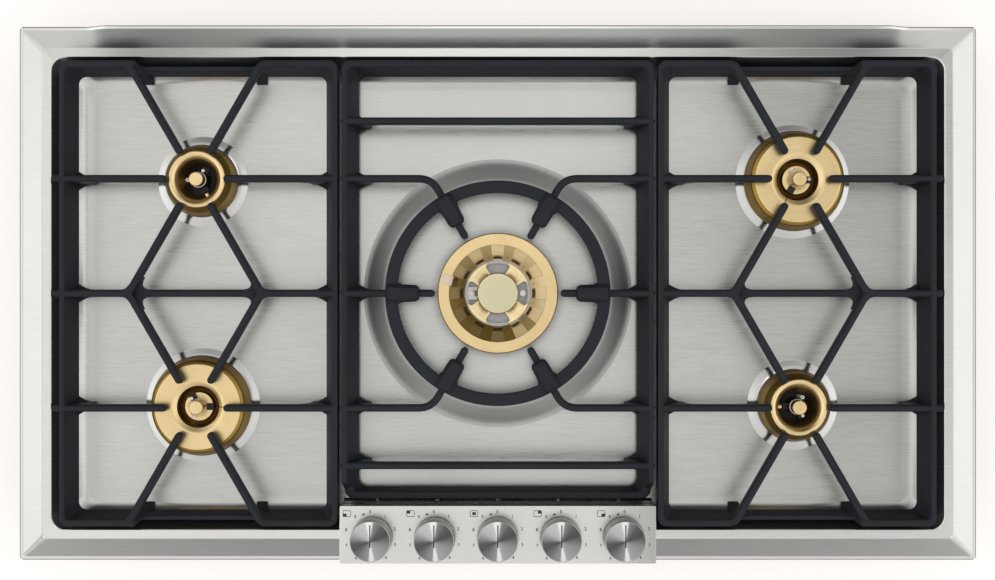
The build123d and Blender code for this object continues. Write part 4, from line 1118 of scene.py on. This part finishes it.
def wokPorts():
    # a small round port at the foot of each rib and a dark slot, a rounded square, at the foot of each recess
    dotTurn, slotTurn = [np.linspace(0, 2 * pi, count + 1)[:-1] for count in (12, 24)]
    across, along = [np.sign(wave) * np.abs(wave) ** 0.4 for wave in (np.cos(slotTurn), np.sin(slotTurn))]
    parts = []
    for number in range(wokBurner["ribs"]):
        recess, rib = [(number + half) * 360 / wokBurner["ribs"] for half in (0, 0.5)]
        dot = conePoints(36.9 + 0.55 * np.cos(dotTurn), rib + 0.85 * np.sin(dotTurn), 0.06)
        slot = conePoints(35.9 + 1.15 * across, recess + 6.4 * along, -1.35)
        for shape in (dot, slot):
            parts.append({"points": shape, "faces": [list(range(len(shape)))], "look": 3})
    return parts


def igniterPlate():
    # the pale insert in the flat ring and the darker lip in front of it on the cone
    top = wokBurner["top"]
    low, high = coneHeight(41.5) + 0.05, top + 0.1
    lip = np.array([(41.5, -4.2, low), (46.6, -5.0, high), (46.6, 5.0, high), (41.5, 4.2, low)])
    parts = [prism(box(46.6, -5.0, 57.6, 5.0), top - 2, top + 0.25, 0.25, look=4),
             prism(box(47.4, -2.6, 52.6, 2.6), top, top + 0.45, 0.15, look=4),
             {"points": lip, "faces": [[0, 1, 2, 3]], "look": 5}]
    return [rotated(part, wokBurner["igniterAngle"]) for part in parts]


def makeWokBurner():
    # the skirt, the flat ring, the cone and the inner wall meet in the ring, skirt and wall in darker brass
    # as painted shade; the cap stands in the middle
    low, top, outer = floorZ + 14, wokBurner["top"], wokBurner["outer"]
    side = eased([(wokBurner["coneInner"], low), (58.6, low), (outer, low + 2), (outer, top - 0.9),
                  (outer - 0.9, top)], [0, 0.5, 0.8, 0.4, 0], 5)
    flat = [(outer - 0.9, top), (56, top), (52, top), (wokBurner["coneOuter"], top)]
    inner = [(wokBurner["coneInner"], wokBurner["coneLow"]), (wokBurner["coneInner"], low)]
    parts = [turned(side, segments=160, look=0), turned(flat, segments=720, look=1), coneFace(),
             turned(inner, segments=720, look=0), *wokPorts(), *igniterPlate()]
    makePiece("wokBurnerRing", parts, [skirtShadeBrass, brass, coneBrass, slotShade, insertMetal, brassDark],
              "wok_burner", ["burner_ring_wok"], sharp=25)
    radius, capTop = wokBurner["capRadius"], wokBurner["capTop"]
    stem = eased([(0, floorZ + 16), (17, floorZ + 16), (17, capTop - 4), (radius, capTop - 3),
                  (radius, capTop - 0.7), (radius - 0.8, capTop - 0.05)], [0, 0.3, 0.5, 0.6, 0.5, 0], 5)
    face = [(radius - 0.8, capTop - 0.05), (radius - 1.4, capTop), (10, capTop), (4, capTop), (0, capTop)]
    makePiece("wokBurnerCap", [turned(stem, segments=128, look=0), turned(face, segments=128, look=1)],
              [skirtShadeBrass, brassCap], "wok_burner", ["burner_cap_wok"])


def makeWokPlate():
    # four bridges between the openings round a hub, seen as one plate with four wide openings
    low, high = wokPlate["low"], wokPlate["high"]
    outer = [polar((0, 0), wokPlate["radius"], angle) for angle in np.linspace(16, 74, 15)]
    hub = wokPlate["hub"]
    bridge = wokPlate["edge"] + outer + [(y, x) for x, y in wokPlate["edge"][::-1]] + [(6.0, 6.0)]
    parts = [rotated(prism(bridge, low, high, 0.3), turn) for turn in (0, 90, 180, 270)]
    parts.append(turned([(0, low), (hub, low), (hub, high - 0.3), (hub - 0.3, high), (0, high)], segments=96))
    makePiece("wokBurnerPlate", parts, [brassPale], "wok_burner", ["wok_inner_plate"])


makeWokPlate()
makeWokBurner()
print("wok burner")


# Electrodes and flame sensors

pins = {"reach": 10.8, "radius": 2.0, "sleeveLow": 32.0, "sleeveTop": 55.0, "tip": 0.8, "tipTop": 59.0,
        "wokReach": 25.0, "wokLow": 39.0, "bracket": (43.0, 44.6)}


def makePins():
    # a ceramic sleeve with a steel tip beside each burner, and a bracket round the middle one
    parts = []
    top, r, tip = pins["sleeveTop"], pins["radius"], pins["tip"]
    spots = [(polar(place, pins["reach"], electrodeAngle[name]), pins["sleeveLow"])
             for places in (smallPlaces, largePlaces) for name, place in places.items()]
    for spot, low in [*spots, ((-pins["wokReach"], 0), pins["wokLow"])]:
        sleeve = eased([(0, low), (r, low), (r, top), (tip, top + 0.1)], [0, 0.1, 0.5, 0], 5)
        point = eased([(tip, top), (tip, pins["tipTop"]), (0, pins["tipTop"])], [0, 0.3, 0], 4)
        parts += [turned(sleeve, spot, 32), turned(point, spot, 16, look=1)]
    bracket = eased([(-31.6, -6.4), (-20.4, -6.4), (-20.4, -2.6), (-23.2, -2.6), (-23.2, 2.6), (-20.4, 2.6),
                     (-20.4, 6.4), (-31.6, 6.4)], 0.8, 4, closed=True)
    parts.append(prism(bracket, *pins["bracket"], 0.3))
    makePiece("sparkElectrodes", parts, [ceramic, pinSteel], "cooktop", ["spark_electrodes"])


makePins()
print("electrodes")


# Materials of the CAD nodes that stay as they are

finishes = {"base_pan": galvanised, "seal_strip": sealRubber, "fixing_clamps": galvanised,
            "screws": screwSteel, "ignition_module": darkPlastic, "terminal_box": darkPlastic,
            "cable_gland": darkPlastic, "gas_manifold": pipeAluminium, "burner_feed_pipes": pipeAluminium,
            "gas_inlet": screwSteel, "burner_spiders": blackEnamel, "flame_sensors": pinSteel,
            "support_feet": footRubber, "burner_cup_wok": castAluminium, "burner_cup": cupShadeAluminium,
            "gas_tap": castAluminium, "tap_plug": brass, "knob_spindle": screwSteel}


def finishNodes():
    # a node that no piece replaces takes the first finish whose name starts its own
    for name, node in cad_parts.items():
        if not node.hide_render:
            finish = next(material for key, material in finishes.items() if name.startswith(key))
            for slot in node.material_slots:
                slot.material = finish


finishNodes()
print("finishes of the remaining nodes")


# Floor and light: a pale floor and an even dome, brighter to the sides and overhead, darker low down

light = {"zenith": 1.01, "sides": 0.74, "rear": -1.25, "front": -0.20, "horizon": 0.42, "tilt": -0.03,
         "spots": [(1.5, (0.0, 0.185, 0.983), 0.9935), (-0.25, (0.225, -0.02, 0.974), 0.975),
                   (-0.30, (0.27, 0.17, 0.948), 0.985), (0.8, (0.0, -0.999, 0.04), 0.972)]}
ground = {"colour": (0.975, 0.935, 0.918), "shade": 0.995, "matt": 0.55, "glow": 0.578, "half": 6.0}


def makeFloor():
    # pale paper that shows the shadow and gives off a part of its own colour
    half = ground["half"]
    mesh = bpy.data.meshes.new("floor")
    mesh.from_pydata([(x, y, 0) for x, y in box(-half, -half, half, half)], [], [(0, 1, 2, 3)])
    material, tree = newMaterial("floorPaper", Roughness=0.9, Specular_IOR_Level=0.1)
    clouds = useGroup(tree, castGrain, pebble=120.0, patch=3.0)["patches"]
    pale, tone = ground["colour"], spread(tree, clouds, 0.0, 1.0)
    shade = tuple(value * ground["shade"] for value in pale)
    matt = [tuple(value * ground["matt"] for value in colour) for colour in (shade, pale)]
    dress(material, Base_Color=mixed(tree, tone, *matt), Emission_Color=mixed(tree, tone, shade, pale),
          Emission_Strength=ground["glow"])
    mesh.materials.append(material)
    plane = bpy.data.objects.new("floor", mesh)
    bpy.context.collection.objects.link(plane)


def makeLight():
    # L = (zenith + sides x^2 + rear y^2 behind or front y^2 before) (1 + tilt x) h(z) + spots, for (x, y, z)
    world = bpy.data.worlds.new("studio")
    bpy.context.scene.world = world
    world.use_nodes = True
    tree = world.node_tree
    direction = addNode(tree, "TexCoord").outputs["Generated"]
    x, y, z = addNode(tree, "SeparateXYZ", Vector=direction).outputs
    level = light["zenith"]
    for reach, strength in ((x, "sides"), (mathNode(tree, "MAXIMUM", y, 0.0), "rear"),
                            (mathNode(tree, "MINIMUM", y, 0.0), "front")):
        square = mathNode(tree, "MULTIPLY", reach, reach)
        level = mathNode(tree, "MULTIPLY_ADD", square, light[strength], level)
    level = mathNode(tree, "MULTIPLY", level, fading(tree, z, -0.05, 0.5, light["horizon"], 1.0))
    level = mathNode(tree, "MULTIPLY", level, mathNode(tree, "MULTIPLY_ADD", x, light["tilt"], 1.0))
    for strength, aim, edge in light["spots"]:
        towards = vectorNode(tree, "DOT_PRODUCT", direction, aim)
        level = mathNode(tree, "ADD", level, fading(tree, towards, edge, 1.0, 0.0, strength))
    background = tree.nodes["Background"]
    feed(tree, background.inputs["Strength"], level)
    feed(tree, background.inputs["Color"], (1.0, 0.995, 0.985, 1))


makeFloor()
makeLight()
bpy.context.scene.view_settings.view_transform = "Standard"
print("floor and light")
